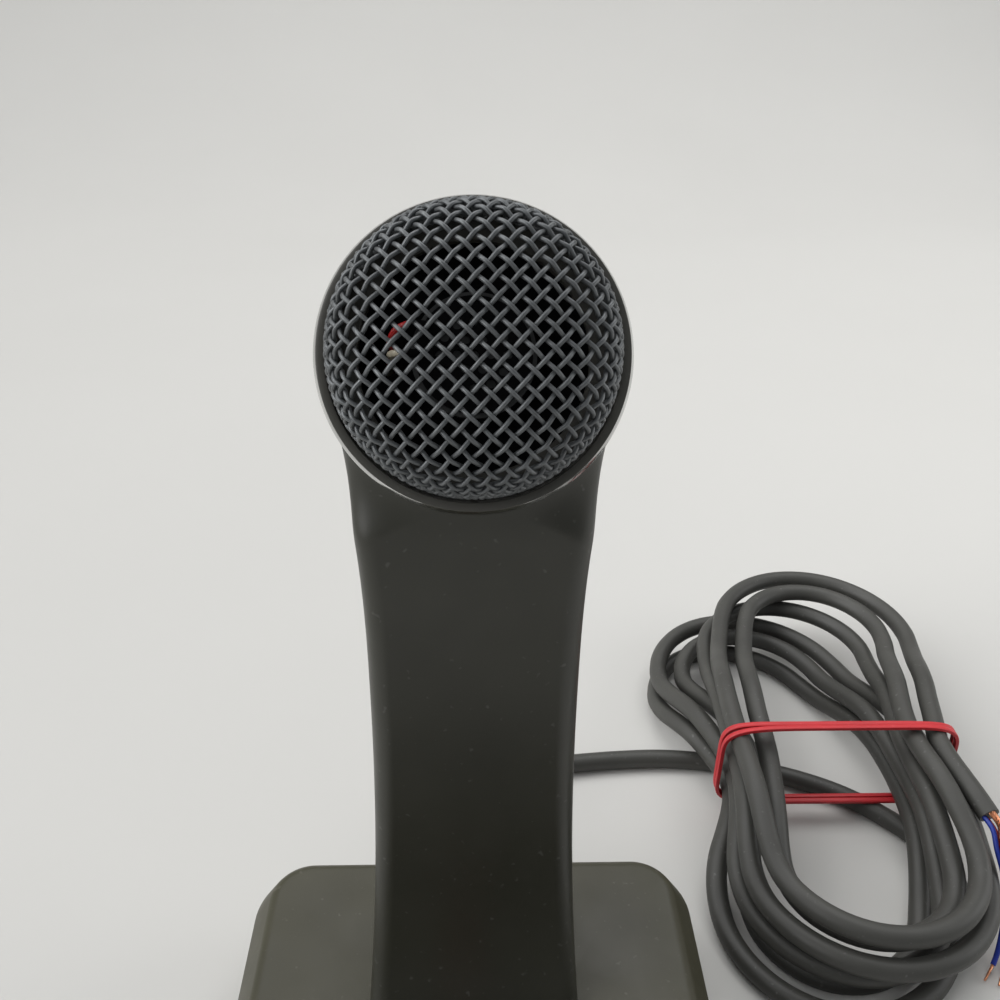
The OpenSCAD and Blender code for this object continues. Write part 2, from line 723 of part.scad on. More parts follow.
module capsule_holder() {
    color([0.08, 0.08, 0.08]) on_head() difference() {
        union() {
            translate([0, 0, ledge_low - holder_t]) cylinder(h = holder_t, r = holder_r);
            translate([0, 0, ledge_low - collar_l]) cylinder(h = collar_l, r = collar_r);
        }
        translate([0, 0, ledge_low - collar_l - over]) cylinder(h = collar_l + 2 * over, r = capsule_r + shock_t);
        translate([wire_port_x, 0, ledge_low - collar_l - over]) cylinder(h = collar_l + 2 * over, r = wire_port_r);
    }
}

module shock_ring() {
    color([0.05, 0.05, 0.05]) on_head() difference() {
        translate([0, 0, ledge_low - collar_l]) cylinder(h = collar_l, r = capsule_r + shock_t - screw_play);
        translate([0, 0, ledge_low - collar_l - over]) cylinder(h = collar_l + 2 * over, r = capsule_r + screw_play);
    }
}

module mic_capsule() {
    color([0.3, 0.3, 0.3]) on_head() translate([0, 0, capsule_back]) cylinder(h = capsule_l, r = capsule_r);
}

module capsule_screen() {
    color([0.12, 0.12, 0.12]) on_head() translate([0, 0, capsule_front]) difference() {
        cylinder(h = screen_t, r = capsule_r - 0.8);
        for (ring = [0:2], i = [0:max(0, 6 * ring - 1)]) rotate([0, 0, 60 * i / max(1, ring)])
            translate([2.8 * ring, 0, -over]) cylinder(h = screen_t + 2 * over, r = 0.8, $fn = 16);
    }
}

// Point in the head's own frame, given in the part's frame
function head_point(p) = head_c + [p[0], 0, 0] + p[1] * head_dir + p[2] * head_axis;

// Wire from the front of the capsule, over its edge and down the column at one x, through the foot at
// another and forward to its terminal
function capsule_wire(up, column_x, foot_x, terminal) =
    let (start = -sqrt(pow(wire_solder_r, 2) - up * up), low = capsule_front + screen_t)
    let (top = low + wire_crest, over_x = start - wire_loop, stop = terminal_y + terminal_size[1] / 2)
    [
        head_point([start, up, low + wire_gap]), head_point([start, up, low + wire_crest / 2]),
        head_point([lerp(start, over_x, 0.4), up, top - 0.8]), head_point([over_x, up, top]),
        head_point([lerp(over_x, wire_drop_x, 0.7), up * 0.8, top - 0.9]),
        head_point([wire_drop_x, up / 2, low]),
        head_point([wire_drop_x, up * 0.3, ledge_low - holder_t]),
        head_point([wire_port_x + 1, up / 2 - 3, ledge_low - collar_l - holder_t]),
        head_point([column_x - 3, up / 2 - 8, -20]),
        [column_x, tower_seam(lean_h - 4) + 2, pivot_z - 6],
        [column_x, tower_seam(tower_hs[1] - 28), base_h + tower_hs[1] - 28],
        [column_x, tower_seam(tower_hs[0] + 12), base_h + tower_hs[0] + 12],
        [lerp(foot_x, column_x, 0.6), tower_seam(tower_hs[0] - 8), base_h + tower_hs[0] - 8],
        [foot_x, wire_lane_y, base_h + block_h + 3], [foot_x, wire_lane_y, base_h + 2],
        [foot_x, wire_lane_y - 0.5, base_h - 8], [foot_x, wire_lane_y - wire_bend, wire_floor],
        [foot_x, wire_lane_y - 3 * wire_bend, wire_floor - 1], [terminal, lock_y, wire_floor - 1],
        [terminal, stop + 2 * wire_bend, wire_floor],
        [terminal, stop + wire_bend, terminal_z + wire_lift],
        [terminal, stop + rest_gap, terminal_z + wire_lift]
    ];

module capsule_wire_red() {
    color("red") tube(capsule_wire(red_up, -7.5, 1.6, -0.5 * terminal_pitch), wire_r, 8);
}

module capsule_wire_white() {
    color("ivory") tube(capsule_wire(white_up, -10.5, -1.8, -1.5 * terminal_pitch), wire_r, 8);
}

// Talk bar and its switch

module talk_bar() {
    color([0.24, 0.24, 0.23]) difference() {
        union() {
            on_slope() difference() {
                translate([-bar_w / 2, 0, 0]) rotate([90, 0, 90]) linear_extrude(bar_w) polygon(bar_profile(0));
                translate([-bar_w / 2 + bar_wall, 0, 0]) rotate([90, 0, 90])
                    linear_extrude(bar_w - 2 * bar_wall) polygon(bar_profile(bar_wall));
                translate([-bar_w, -(bar_rear + bar_d / 2), bar_out + dish_r - dish_deep])
                    rotate([0, 90, 0]) cylinder(h = 2 * bar_w, r = dish_r, $fn = 96);
            }
            for (side = [-1, 1]) on_slope() translate([side * lug_x - lug_w / 2, -pin_s, -pin_drop]) {
                rotate([0, 90, 0]) cylinder(h = lug_w, r = lug_r);
                translate([0, -lug_r, 0]) cube([lug_w, 2 * lug_r, pin_drop + bar_out - dish_deep - bar_wall / 2]);
            }
            for (side = [-1, 1]) bar_post(side * spring_x, spring_y, spring_pad_r, spring_top + fit);
            bar_post(0, switch_y, actuator_r, plunger_top + rest_gap);
        }
        translate([-bar_w, pin_y, pin_z]) rotate([0, 90, 0]) cylinder(h = 2 * bar_w, r = pin_r + pin_play);
    }
}

// Middle of the talk bar's top plate above a point
function bar_plate_z(y) = slope_z(y) + (bar_out - dish_deep - bar_wall / 2) / cos(slope_a);

module bar_post(x, y, r, z) {
    translate([x, y, z]) cylinder(h = bar_plate_z(y) - z, r = r);
}

// Side view of the talk bar in the slope's frame, with its top edges rounded
function bar_profile(inset) =
    let (r = max(bar_edge_r - inset, 0.1), top = bar_out - inset - (inset > 0 ? dish_deep : 0))
    concat([[-bar_front + inset, -bar_skirt - (inset > 0 ? over : 0)]],
           arc([-bar_front + inset + r, top - r], r, 180, 90),
           arc([-bar_rear - inset - r, top - r], r, 90, 0),
           [[-bar_rear - inset, -bar_skirt - (inset > 0 ? over : 0)]]);

module hinge_pin() {
    color("silver") translate([-pin_l / 2 + fit, pin_y, pin_z]) rotate([0, 90, 0])
        cylinder(h = pin_l - 2 * fit, r = pin_r);
}

// Compression spring standing on the base plate, with a closed turn at each end
function spring_path(x) =
    let (rings = 8 * (spring_turns + 2), low = plate_top + spring_wire, high = spring_top - spring_wire)
    [for (i = [0:rings])
        let (turn = i / 8, lift = min(max((turn - 1) / spring_turns, 0), 1))
        let (dead = spring_wire * 2.2, edge = min(turn, 1) + max(turn - spring_turns - 1, 0))
        [x + spring_r * cos(360 * turn), spring_y + spring_r * sin(360 * turn),
         low + dead * edge + (high - low - 2 * dead) * lift]];

module talk_spring_left() {
    color("silver") tube(spring_path(-spring_x), spring_wire, 6);
}

module talk_spring_right() {
    color("silver") tube(spring_path(spring_x), spring_wire, 6);
}

module switch_board() {
    color([0.1, 0.35, 0.2]) difference() {
        translate([-board_half_w, board_front, board_z]) cube([2 * board_half_w, board_rear - board_front, board_t]);
        for (p = board_holes) translate([p[0], p[1], board_z - over])
            cylinder(h = board_t + 2 * over, r = small_screw_r + fit);
    }
}

module board_spacers() {
    color("white") for (p = board_holes) translate([p[0], p[1], plate_top]) difference() {
        cylinder(h = spacer_h, r = small_screw_r + 1.6);
        translate([0, 0, -over]) cylinder(h = spacer_h + 2 * over, r = small_screw_r + fit);
    }
}

module board_screws() {
    color("silver") for (p = board_holes) translate([p[0], p[1], board_top]) rotate([180, 0, 0])
        screw(board_t + spacer_h + plate_t, small_screw_r, small_head_r, small_head_h);
}

module talk_switch() {
    color([0.1, 0.1, 0.1]) difference() {
        translate([-switch_size[0] / 2, switch_y - switch_size[1] / 2, board_top]) cube(switch_size);
        translate([0, switch_y, switch_top - plunger_well])
            cylinder(h = plunger_well + over, r = plunger_r + plunger_play);
    }
}

module switch_plunger() {
    color([0.75, 0.15, 0.1]) translate([0, switch_y, switch_top - plunger_in])
        cylinder(h = plunger_in + plunger_out, r = plunger_r);
}

module terminal_strip() {
    color([0.15, 0.4, 0.25]) difference() {
        translate([-terminal_size[0] / 2, terminal_y - terminal_size[1] / 2, board_top]) cube(terminal_size);
        for (i = [-1.5:1:1.5]) translate([i * terminal_pitch, terminal_y, board_top + terminal_size[2] * 0.4])
            cylinder(h = terminal_size[2], r = terminal_hole_r + 0.5);
    }
}

// Lock switch

module lock_switch() {
    color([0.2, 0.2, 0.2]) difference() {
        union() {
            translate([-lock_body[0] / 2, lock_y - lock_body[1] / 2, lock_top - lock_body[2]]) cube(lock_body);
            translate([-lock_ear_x - lock_boss_r, lock_y - lock_body[1] / 2, lock_top - lock_boss_h - lock_ear_t])
                cube([2 * (lock_ear_x + lock_boss_r), lock_body[1], lock_ear_t]);
        }
        translate([-lock_slot_l / 2, lock_y - lock_slot_w / 2, lock_top - lock_slot_deep])
            cube([lock_slot_l, lock_slot_w, lock_slot_deep + over]);
        for (side = [-1, 1]) translate([side * lock_ear_x, lock_y, lock_top - lock_body[2]])
            cylinder(h = lock_body[2], r = small_screw_r + fit);
    }
}

module lock_switch_screws() {
    color("silver") for (side = [-1, 1])
        translate([side * lock_ear_x, lock_y, lock_top - lock_boss_h - lock_ear_t])
            screw(lock_ear_t + lock_boss_h - 1, small_screw_r, small_head_r, small_head_h);
}

module lock_knob() {
    knob_low = base_h - lock_recess + rest_gap;
    knob_top = base_h + lock_out;
    groove = lock_l / (2 * lock_grooves + 3);
    color([0.55, 0.12, 0.1]) translate([-lock_travel / 2, lock_y, 0]) difference() {
        union() {
            translate([-lock_l / 2, -lock_w / 2, knob_low]) cube([lock_l, lock_w, knob_top - knob_low]);
            translate([-lock_stem[0] / 2, -lock_stem[1] / 2, lock_top - lock_slot_deep + over])
                cube([lock_stem[0], lock_stem[1], knob_low - lock_top + lock_slot_deep]);
        }
        for (i = [0:lock_grooves - 1])
            translate([(i - (lock_grooves - 1) / 2) * 2 * groove - groove / 2, -lock_w, knob_top - groove * 0.6])
                cube([groove, 2 * lock_w, groove]);
    }
}

// Cable inside the base

module cable_tail() {
    color([0.37, 0.37, 0.35]) translate([0, 0, cable_z]) along_y(tail_end_y) cylinder(h = tail_l, r = cable_r);
}

module cable_clamp() {
    color([0.12, 0.12, 0.12]) difference() {
        translate([-clamp_half[0], clamp_y - clamp_half[1], plate_top])
            cube([2 * clamp_half[0], 2 * clamp_half[1], clamp_top - plate_top]);
        translate([0, 0, cable_z]) along_y(clamp_y - clamp_half[1] - over)
            cylinder(h = 2 * (clamp_half[1] + over), r = cable_r + screw_play);
        for (side = [-1, 1]) translate([side * clamp_screw_x, clamp_y, plate_top - over])
            cylinder(h = clamp_top, r = small_screw_r + fit);
    }
}

module clamp_screws() {
    color("silver") for (side = [-1, 1]) translate([side * clamp_screw_x, clamp_y, clamp_top]) rotate([180, 0, 0])
        screw(clamp_top - foot_h - 0.5, small_screw_r, small_head_r, small_head_h);
}

// Core from the end of the cable forward to its terminal
function inner_core(place, terminal) =
    let (stop = terminal_y + terminal_size[1] / 2)
    [
        [place * core_pitch, tail_end_y - wire_gap, cable_z],
        [place * core_pitch, tail_end_y - core_bend, cable_z - 0.5],
        [place * core_lane, tail_end_y - core_fall, core_z], [place * core_lane, lock_y, core_z],
        [terminal, stop + 3 * wire_bend, core_z + wire_lift], [terminal, stop + wire_bend, core_z + core_lift],
        [terminal, stop + rest_gap, core_z + core_lift]
    ];

module inner_core_red() {
    color("red") tube(inner_core(-1, -1.5 * terminal_pitch), core_r, 8);
}

module inner_core_blue() {
    color("blue") tube(inner_core(0, 0.5 * terminal_pitch), core_r, 8);
}

module inner_core_white() {
    color("white") tube(inner_core(1, 1.5 * terminal_pitch), core_r, 8);
}

// Free cable

module strain_relief() {
    boot_l = relief_l - relief_flange_t;
    rib = boot_l / (3 * relief_ribs);
    color([0.25, 0.25, 0.24]) translate([0, 0, cable_z]) along_y(relief_in_y) difference() {
        rotate_extrude() polygon([
            [0, 0], [relief_flange_r, 0], [relief_flange_r, relief_flange_t], [relief_neck_r, relief_flange_t],
            [relief_neck_r, relief_flange_t + wall], [relief_flange_r, relief_flange_t + wall],
            [relief_flange_r, 2 * relief_flange_t + wall], [relief_root_r, 2 * relief_flange_t + wall],
            [relief_tip_r, relief_flange_t + wall + relief_l], [0, relief_flange_t + wall + relief_l]
        ]);
        for (i = [0:relief_ribs - 1])
            translate([0, 0, 2 * relief_flange_t + wall + rib * (3 * i + 1.5)]) difference() {
                cylinder(h = rib, r = relief_root_r + over);
                translate([0, 0, -over]) cylinder(h = rib + 2 * over, r = relief_tip_r - 0.3);
            }
    }
}

// Hank: petal j runs from the tie round the near or the far end and back to the tie
function hank_layer(j) = floor(j / hank_climb);
function spiral(u) = let (m = (u % (2 * hank_climb)) / hank_climb) m < 1 ? 1 - m : m - 1;
function rise(y) = hank_rise * (1 - ease((abs(y - hank_y - hank_flat_back) - hank_flat) / hank_ramp));

// Point of a petal by its share of the petal's length, as [along the hank, across it]
function petal_point(run, r, f) =
    let (bend = 180 * r * PI / 180, total = 2 * run + bend, d = f * total)
    d < run ? [d, r] :
    d > total - run ? [total - d, -r] :
    let (a = 180 * (d - run) / bend) [run + r * sin(a), r * cos(a)];
function hank_point(u) =
    let (j = floor(u), f = u - j, far = j % 2 == 1, k = hank_layer(j))
    let (r = hank_r + hank_spread * spiral(u))
    let (p = petal_point(far ? hank_far[k] : hank_near, r, f))
    let (q = p[1] - sign(p[1]) * hank_draw * exp(-pow(p[0] / hank_draw_l, 2)))
    let (across = far ? -q : q, along = far ? p[0] : -p[0])
    let (bow = far ? hank_far_bow[k] : hank_near_bow[k], reach = norm([along, hank_soft]))
    let (a = atan(bow * along / reach))
    let (x = hank_x + bow * (reach - hank_soft) + across * cos(a))
    let (y = hank_y + along - across * sin(a))
    [x, y, hank_z + layer_step * hank_climbed(u) + rise(y)];

// Layers climbed so far: each climb is spread over the run on both sides of the tie
function hank_climbed(u) =
    ease((u - hank_climb + climb_share) / (2 * climb_share))
    + ease((u - 2 * hank_climb + climb_share) / (2 * climb_share))
    + ease((u - 3 * hank_climb + climb_share) / (2 * climb_share));

hank_count = round((hank_end - hank_start) * hank_rings);
hank_curve = [for (i = [0:hank_count]) hank_point(lerp(hank_start, hank_end, i / hank_count))];
hank_in_dir = unit(hank_curve[1] - hank_curve[0]);
hank_out_dir = unit(hank_curve[hank_count] - hank_curve[hank_count - 1]);
hank_path = concat([hank_curve[0] - cable_d * hank_in_dir], hank_curve,
                   [hank_curve[hank_count] + cable_d * hank_out_dir]);

// Least gap between stretches of the hank that aren't neighbours along it, measured on fine points
function hank_gap() =
    let (n = round((hank_end - hank_start) * hank_fine))
    let (pts = [for (i = [0:n]) hank_point(lerp(hank_start, hank_end, i / n))])
    min([for (i = [0:n - 1], j = [i + hank_fine / 4:1:n]) norm(pts[i] - pts[j])]) - cable_d;

module cord_hank() {
    echo(hank_least_gap = hank_gap());
    color([0.37, 0.37, 0.35]) tube(hank_path, cable_r, hank_sides);
}

module cord_lead() {
    start = [0, relief_end_y, cable_z];
    color([0.37, 0.37, 0.35])
        tube(concat([start], lead_route, [hank_path[0] - cable_d * hank_in_dir, hank_path[0]]), cable_r, 10);
}

module cord_end() {
    last = hank_path[len(hank_path) - 1];
    color([0.37, 0.37, 0.35]) tube(concat([last, last + cable_d * hank_out_dir], end_route), cable_r, 10);
}

// Bare core from the cut end of the cable, offset across and up from the cable's middle
module bare_core(route, across, up, r) {
    tip = end_route[len(end_route) - 1];
    out = heading(end_route, len(end_route) - 1);
    top = side_of(out, [0, 0, 1]);
    start = tip + across * cross(out, top) + up * top;
    tube(concat([start + wire_gap * out, start + 4 * out], route), r, 8);
}

module bare_core_red() {
    color("red") bare_core(red_route, 0, -core_spread, core_r);
}

module bare_core_blue() {
    color("blue") bare_core(blue_route, core_spread, 0, core_r);
}

module bare_core_white() {
    color("ivory") bare_core(white_route, -core_spread, 0, core_r);
}

module bare_braid() {
    color([0.72, 0.45, 0.3]) bare_core(braid_route, 0, core_spread, braid_r);
}

// Where the strands cross the tie, and the loose end beside them
function tie_points() = concat([hank_path[len(hank_path) - 1]],
    [for (i = [0:hank_count * hank_share])
        let (p = hank_point(lerp(hank_start, hank_end, i / (hank_count * hank_share))))
        if (abs(p[1] - hank_y) < band_w) p]);

module rubber_band() {
    across = [for (p = tie_points()) p[0]];
    left = min(across) - cable_r - band_gap;
    right = max(across) + cable_r + band_gap;
    low = hank_z + hank_rise - cable_r - band_gap;
    high = hank_z + hank_rise + 3 * layer_step + cable_r + band_gap;
    half = [(right - left) / 2, (high - low) / 2];
    color([0.78, 0.15, 0.17]) translate([(left + right) / 2, hank_y + band_w / 2, (low + high) / 2])
        rotate([90, 0, 0]) difference() {
            round_plate(half[0] + band_t, half[1] + band_t, band_corner + band_t, band_w);
            translate([0, 0, -over]) round_plate(half[0], half[1], band_corner, band_w + 2 * over);
        }
}

base_cover();
base_plate();
rubber_feet();
bottom_screws();
column_front();
column_rear();
column_foot();
column_screws();
rear_screws();
head_ring();
head_grille();
capsule_holder();
shock_ring();
mic_capsule();
capsule_screen();
capsule_wire_red();
capsule_wire_white();
talk_bar();
hinge_pin();
talk_spring_left();
talk_spring_right();
switch_board();
board_spacers();
board_screws();
talk_switch();
switch_plunger();
terminal_strip();
lock_switch();
lock_switch_screws();
lock_knob();
cable_tail();
cable_clamp();
clamp_screws();
inner_core_red();
inner_core_blue();
inner_core_white();
strain_relief();
cord_lead();
cord_hank();
cord_end();
bare_core_red();
bare_core_blue();
bare_core_white();
bare_braid();
rubber_band();
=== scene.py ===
import math

import bmesh
import bpy
import numpy as np
from mathutils import Matrix, Vector


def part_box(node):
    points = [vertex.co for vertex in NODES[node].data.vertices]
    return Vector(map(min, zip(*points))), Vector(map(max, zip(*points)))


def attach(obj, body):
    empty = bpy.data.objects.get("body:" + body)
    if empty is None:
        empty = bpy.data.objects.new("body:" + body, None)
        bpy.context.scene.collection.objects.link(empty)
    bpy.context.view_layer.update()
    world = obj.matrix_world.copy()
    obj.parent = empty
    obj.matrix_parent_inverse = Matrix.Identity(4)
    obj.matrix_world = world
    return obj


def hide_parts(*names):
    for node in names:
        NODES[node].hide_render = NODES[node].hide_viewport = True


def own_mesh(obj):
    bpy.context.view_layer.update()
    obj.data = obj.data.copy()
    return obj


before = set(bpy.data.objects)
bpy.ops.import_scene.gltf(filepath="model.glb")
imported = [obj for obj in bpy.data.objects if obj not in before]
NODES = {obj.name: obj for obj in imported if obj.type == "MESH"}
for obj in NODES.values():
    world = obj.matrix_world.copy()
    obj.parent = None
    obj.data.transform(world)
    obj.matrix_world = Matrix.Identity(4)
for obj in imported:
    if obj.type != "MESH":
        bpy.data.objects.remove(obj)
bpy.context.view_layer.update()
MM = 0.001


def linked(name, data):
    obj = bpy.data.objects.new(name, data)
    bpy.context.scene.collection.objects.link(obj)
    return obj


# ---------------------------------------------------------------- camera, solved from the photo's edges

CAMERA_AT = (-0.523, -111.143, 244.331)
PITCH_DOWN, YAW_RIGHT, ROLL = (math.radians(a) for a in (29.994, 1.907, 0.871))
FOCAL = SENSOR = 36


def make_camera():
    fwd = Vector((math.sin(YAW_RIGHT) * math.cos(PITCH_DOWN), math.cos(YAW_RIGHT) * math.cos(PITCH_DOWN),
                  -math.sin(PITCH_DOWN)))
    right = Vector((math.cos(YAW_RIGHT), -math.sin(YAW_RIGHT), 0))
    up = right.cross(fwd)
    r = right * math.cos(ROLL) + up * math.sin(ROLL)
    u = up * math.cos(ROLL) - right * math.sin(ROLL)
    data = bpy.data.cameras.new("photo_camera")
    data.lens = FOCAL
    data.sensor_width = SENSOR
    data.clip_start, data.clip_end = 0.01, 20
    cam = linked("photo_camera", data)
    turn = Matrix((r, u, -fwd)).transposed().to_4x4()
    cam.matrix_world = Matrix.Translation(Vector(CAMERA_AT) * MM) @ turn
    bpy.context.scene.camera = cam


make_camera()


# ---------------------------------------------------------------- materials

# Scales of the noises, per metre, and depths of the bumps, in metres.
DRIFT_SCALE, SPECK_SCALE, SHEEN_SCALE, GRAIN_SCALE, RIPPLE_SCALE = 38, 620, 70, 1500, 150
CLOUD_SCALE, STREAK_SCALE, MARK_SCALE, TABLE_SCALE = 120, 400, 2200, 3
GRAIN_DEPTH, RIPPLE_DEPTH, MARK_DEPTH = 0.00006, 0.0002, 0.00004
METAL_VARY = 0.15


def nodes_of(name):
    mat = bpy.data.materials.new(name)
    mat.use_nodes = True
    tree = mat.node_tree
    coord = add(tree, "ShaderNodeTexCoord").outputs["Object"]
    return mat, tree, tree.nodes["Principled BSDF"], coord


def add(tree, kind, **values):
    node = tree.nodes.new(kind)
    for key, value in values.items():
        if hasattr(node, key):
            setattr(node, key, value)
        else:
            node.inputs[key].default_value = value
    return node


def noise(tree, coord, scale, detail=2.0, rough=0.5):
    n = add(tree, "ShaderNodeTexNoise", Scale=scale, Detail=detail, Roughness=rough)
    tree.links.new(coord, n.inputs["Vector"])
    return n.outputs["Fac"]


def ramp(tree, fac, low, high, a, b):
    """Maps fac from low..high to a..b, held at the ends."""
    m = add(tree, "ShaderNodeMapRange", clamp=True)
    for key, value in (("From Min", low), ("From Max", high), ("To Min", a), ("To Max", b)):
        m.inputs[key].default_value = value
    tree.links.new(fac, m.inputs["Value"])
    return m.outputs["Result"]


def mixed(tree, fac, a, b):
    """Goes from a to b with fac; each is a colour or a socket."""
    m = add(tree, "ShaderNodeMix", data_type="RGBA")
    tree.links.new(fac, m.inputs["Factor"])
    for value, socket in ((a, m.inputs[6]), (b, m.inputs[7])):
        if hasattr(value, "links"):
            tree.links.new(value, socket)
        else:
            socket.default_value = (*value, 1)
    return m.outputs[2]


def drifting(tree, fac, rgb, vary):
    """The colour, a little darker or lighter as fac goes."""
    dark = tuple(c * (1 - vary) for c in rgb)
    light = tuple(min(1, c * (1 + vary)) for c in rgb)
    return mixed(tree, ramp(tree, fac, 0.3, 0.7, 0, 1), dark, light)


def bumped(tree, shader, heights):
    """Adds bumps one on the other: (height socket, strength, distance in metres)."""
    last = None
    for height, strength, distance in heights:
        b = add(tree, "ShaderNodeBump", Strength=strength, Distance=distance)
        tree.links.new(height, b.inputs["Height"])
        if last:
            tree.links.new(last, b.inputs["Normal"])
        last = b.outputs["Normal"]
    tree.links.new(last, shader.inputs["Normal"])


def moulded(name, rgb, rough, grain=0.25, dust=0.25, spec=0.5, vary=0.12):
    """Moulded plastic or rubber: fine grain, uneven sheen, slight colour drift and a little dust."""
    mat, tree, shader, coord = nodes_of(name)
    colour = drifting(tree, noise(tree, coord, DRIFT_SCALE, 4), rgb, vary)
    specks = ramp(tree, noise(tree, coord, SPECK_SCALE, 1), 0.70, 0.80, 0, dust)
    dusty = tuple(min(1, 0.12 + c * 1.3) for c in rgb)
    tree.links.new(mixed(tree, specks, colour, dusty), shader.inputs["Base Color"])
    sheen = noise(tree, coord, SHEEN_SCALE, 5, 0.6)
    tree.links.new(ramp(tree, sheen, 0.25, 0.75, rough - 0.06, rough + 0.06), shader.inputs["Roughness"])
    shader.inputs["Specular IOR Level"].default_value = spec
    bumped(tree, shader, [(noise(tree, coord, GRAIN_SCALE, 3), grain, GRAIN_DEPTH),
                          (noise(tree, coord, RIPPLE_SCALE, 2), grain * 0.35, RIPPLE_DEPTH)])
    return mat


def metal(name, rgb, rough, metallic=1.0, scratch=0.15):
    """Plated or bare metal with a clouded sheen and fine marks."""
    mat, tree, shader, coord = nodes_of(name)
    colour = drifting(tree, noise(tree, coord, CLOUD_SCALE, 4, 0.6), rgb, METAL_VARY)
    tree.links.new(colour, shader.inputs["Base Color"])
    sheen = noise(tree, coord, STREAK_SCALE, 3)
    tree.links.new(ramp(tree, sheen, 0.3, 0.7, rough - 0.07, rough + 0.09), shader.inputs["Roughness"])
    shader.inputs["Metallic"].default_value = metallic
    bumped(tree, shader, [(noise(tree, coord, MARK_SCALE, 2), scratch, MARK_DEPTH)])
    return mat


M = {
    "cover": moulded("cover_plastic", (0.040, 0.0374, 0.0200), 0.44),
    "column": moulded("column_plastic", (0.023, 0.0228, 0.0160), 0.37),
    "ring": moulded("ring_plastic", (0.062, 0.060, 0.053), 0.34, grain=0.1, dust=0.15),
    "edge": metal("ring_edge_metal", (0.58, 0.58, 0.57), 0.13, scratch=0.12),
    "wire": metal("grille_wire", (0.130, 0.137, 0.142), 0.45, metallic=0.6),
    "bar": moulded("bar_plastic", (0.040, 0.040, 0.037), 0.38),
    "black": moulded("black_plastic", (0.009, 0.009, 0.009), 0.55),
    "felt": moulded("black_felt", (0.0035, 0.0035, 0.004), 0.9, grain=0.6, dust=0.0, spec=0.05),
    "foot": moulded("foot_rubber", (0.012, 0.012, 0.012), 0.75, grain=0.5),
    "steel": metal("zinc_steel", (0.55, 0.55, 0.53), 0.34),
    "plunger": moulded("plunger_plastic", (0.50, 0.03, 0.02), 0.35, grain=0.1),
    "capsule": metal("capsule_metal", (0.10, 0.10, 0.10), 0.4),
    "board": moulded("board_laminate", (0.012, 0.085, 0.035), 0.35, grain=0.1),
    "terminal": moulded("terminal_plastic", (0.02, 0.13, 0.05), 0.45),
    "nylon": moulded("white_nylon", (0.68, 0.67, 0.62), 0.5),
    "red": moulded("red_wire", (0.46, 0.012, 0.012), 0.38, grain=0.1),
    "blue": moulded("blue_wire", (0.012, 0.035, 0.30), 0.38, grain=0.1),
    "white": moulded("white_wire", (0.62, 0.56, 0.43), 0.42, grain=0.1),
    "copper": metal("copper_strand", (0.70, 0.33, 0.19), 0.30),
    "cable": moulded("cable_jacket", (0.048, 0.0474, 0.0425), 0.52, grain=0.35, dust=0.35, vary=0.16),
    "relief": moulded("relief_rubber", (0.035, 0.035, 0.033), 0.6, grain=0.4),
    "band": moulded("band_rubber", (0.53, 0.020, 0.028), 0.48, grain=0.3, vary=0.2),
    "lock": moulded("lock_plastic", (0.26, 0.014, 0.011), 0.36, grain=0.15),
}


def paint(obj, mat):
    obj.data.materials.clear()
    obj.data.materials.append(M[mat])


# ---------------------------------------------------------------- mesh helpers (millimetres in, metres out)

def mesh_of(name, verts, faces, weld=0.0):
    """Mesh with its faces turned outward; points nearer than weld, in metres, become one."""
    mesh = bpy.data.meshes.new(name)
    mesh.from_pydata([tuple(float(c) * MM for c in v) for v in verts], [],
                     [tuple(int(i) for i in f) for f in faces])
    mesh.validate()
    bm = bmesh.new()
    bm.from_mesh(mesh)
    if weld:
        bmesh.ops.remove_doubles(bm, verts=bm.verts, dist=weld)
    bmesh.ops.recalc_face_normals(bm, faces=bm.faces)
    bm.to_mesh(mesh)
    bm.free()
    return mesh


def shade(obj, angle):
    """Smooth, but for edges sharper than the angle in degrees."""
    obj.data.shade_smooth()
    obj.data.set_sharp_from_angle(angle=math.radians(angle))


def dress(obj, mat, angle=35.0, stands_for=()):
    """Paints first: a curve that gets its material after it is attached loses its measured box."""
    paint(obj, mat)
    if obj.type == "MESH":
        shade(obj, angle)
    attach(obj, "body")
    if stands_for:
        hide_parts(*stands_for)
    return obj


def piece(name, verts, faces, mat, angle=35.0, stands_for=()):
    return dress(linked(name, mesh_of(name, verts, faces)), mat, angle, stands_for)


def box_mm(node):
    return [np.array(c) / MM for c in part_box(node)]


def unit(v):
    return v / np.linalg.norm(v)


def lerp(a, b, s):
    return a + (b - a) * s


def ease(t):
    c = min(max(t, 0.0), 1.0)
    return c * c * (3 - 2 * c)


def smooth_path(points, step):
    """Centripetal spline through the points, sampled evenly."""
    shortest, fine = 1e-6, 0.4
    p = np.array(points, float)
    p = np.vstack([2 * p[0] - p[1], p, 2 * p[-1] - p[-2]])
    out = []
    for i in range(1, len(p) - 2):
        q = [p[i - 1], p[i], p[i + 1], p[i + 2]]
        t = [0.0]
        for k in range(3):
            t.append(t[-1] + max(np.linalg.norm(q[k + 1] - q[k]), shortest) ** 0.5)
        n = max(4, int(np.linalg.norm(q[2] - q[1]) / fine))
        for x in np.linspace(t[1], t[2], n, endpoint=False):
            a = [((t[k + 1] - x) * q[k] + (x - t[k]) * q[k + 1]) / (t[k + 1] - t[k]) for k in range(3)]
            b = [((t[k + 2] - x) * a[k] + (x - t[k]) * a[k + 1]) / (t[k + 2] - t[k]) for k in range(2)]
            out.append(((t[2] - x) * b[0] + (x - t[1]) * b[1]) / (t[2] - t[1]))
    out.append(p[-2])
    return even(out, step)


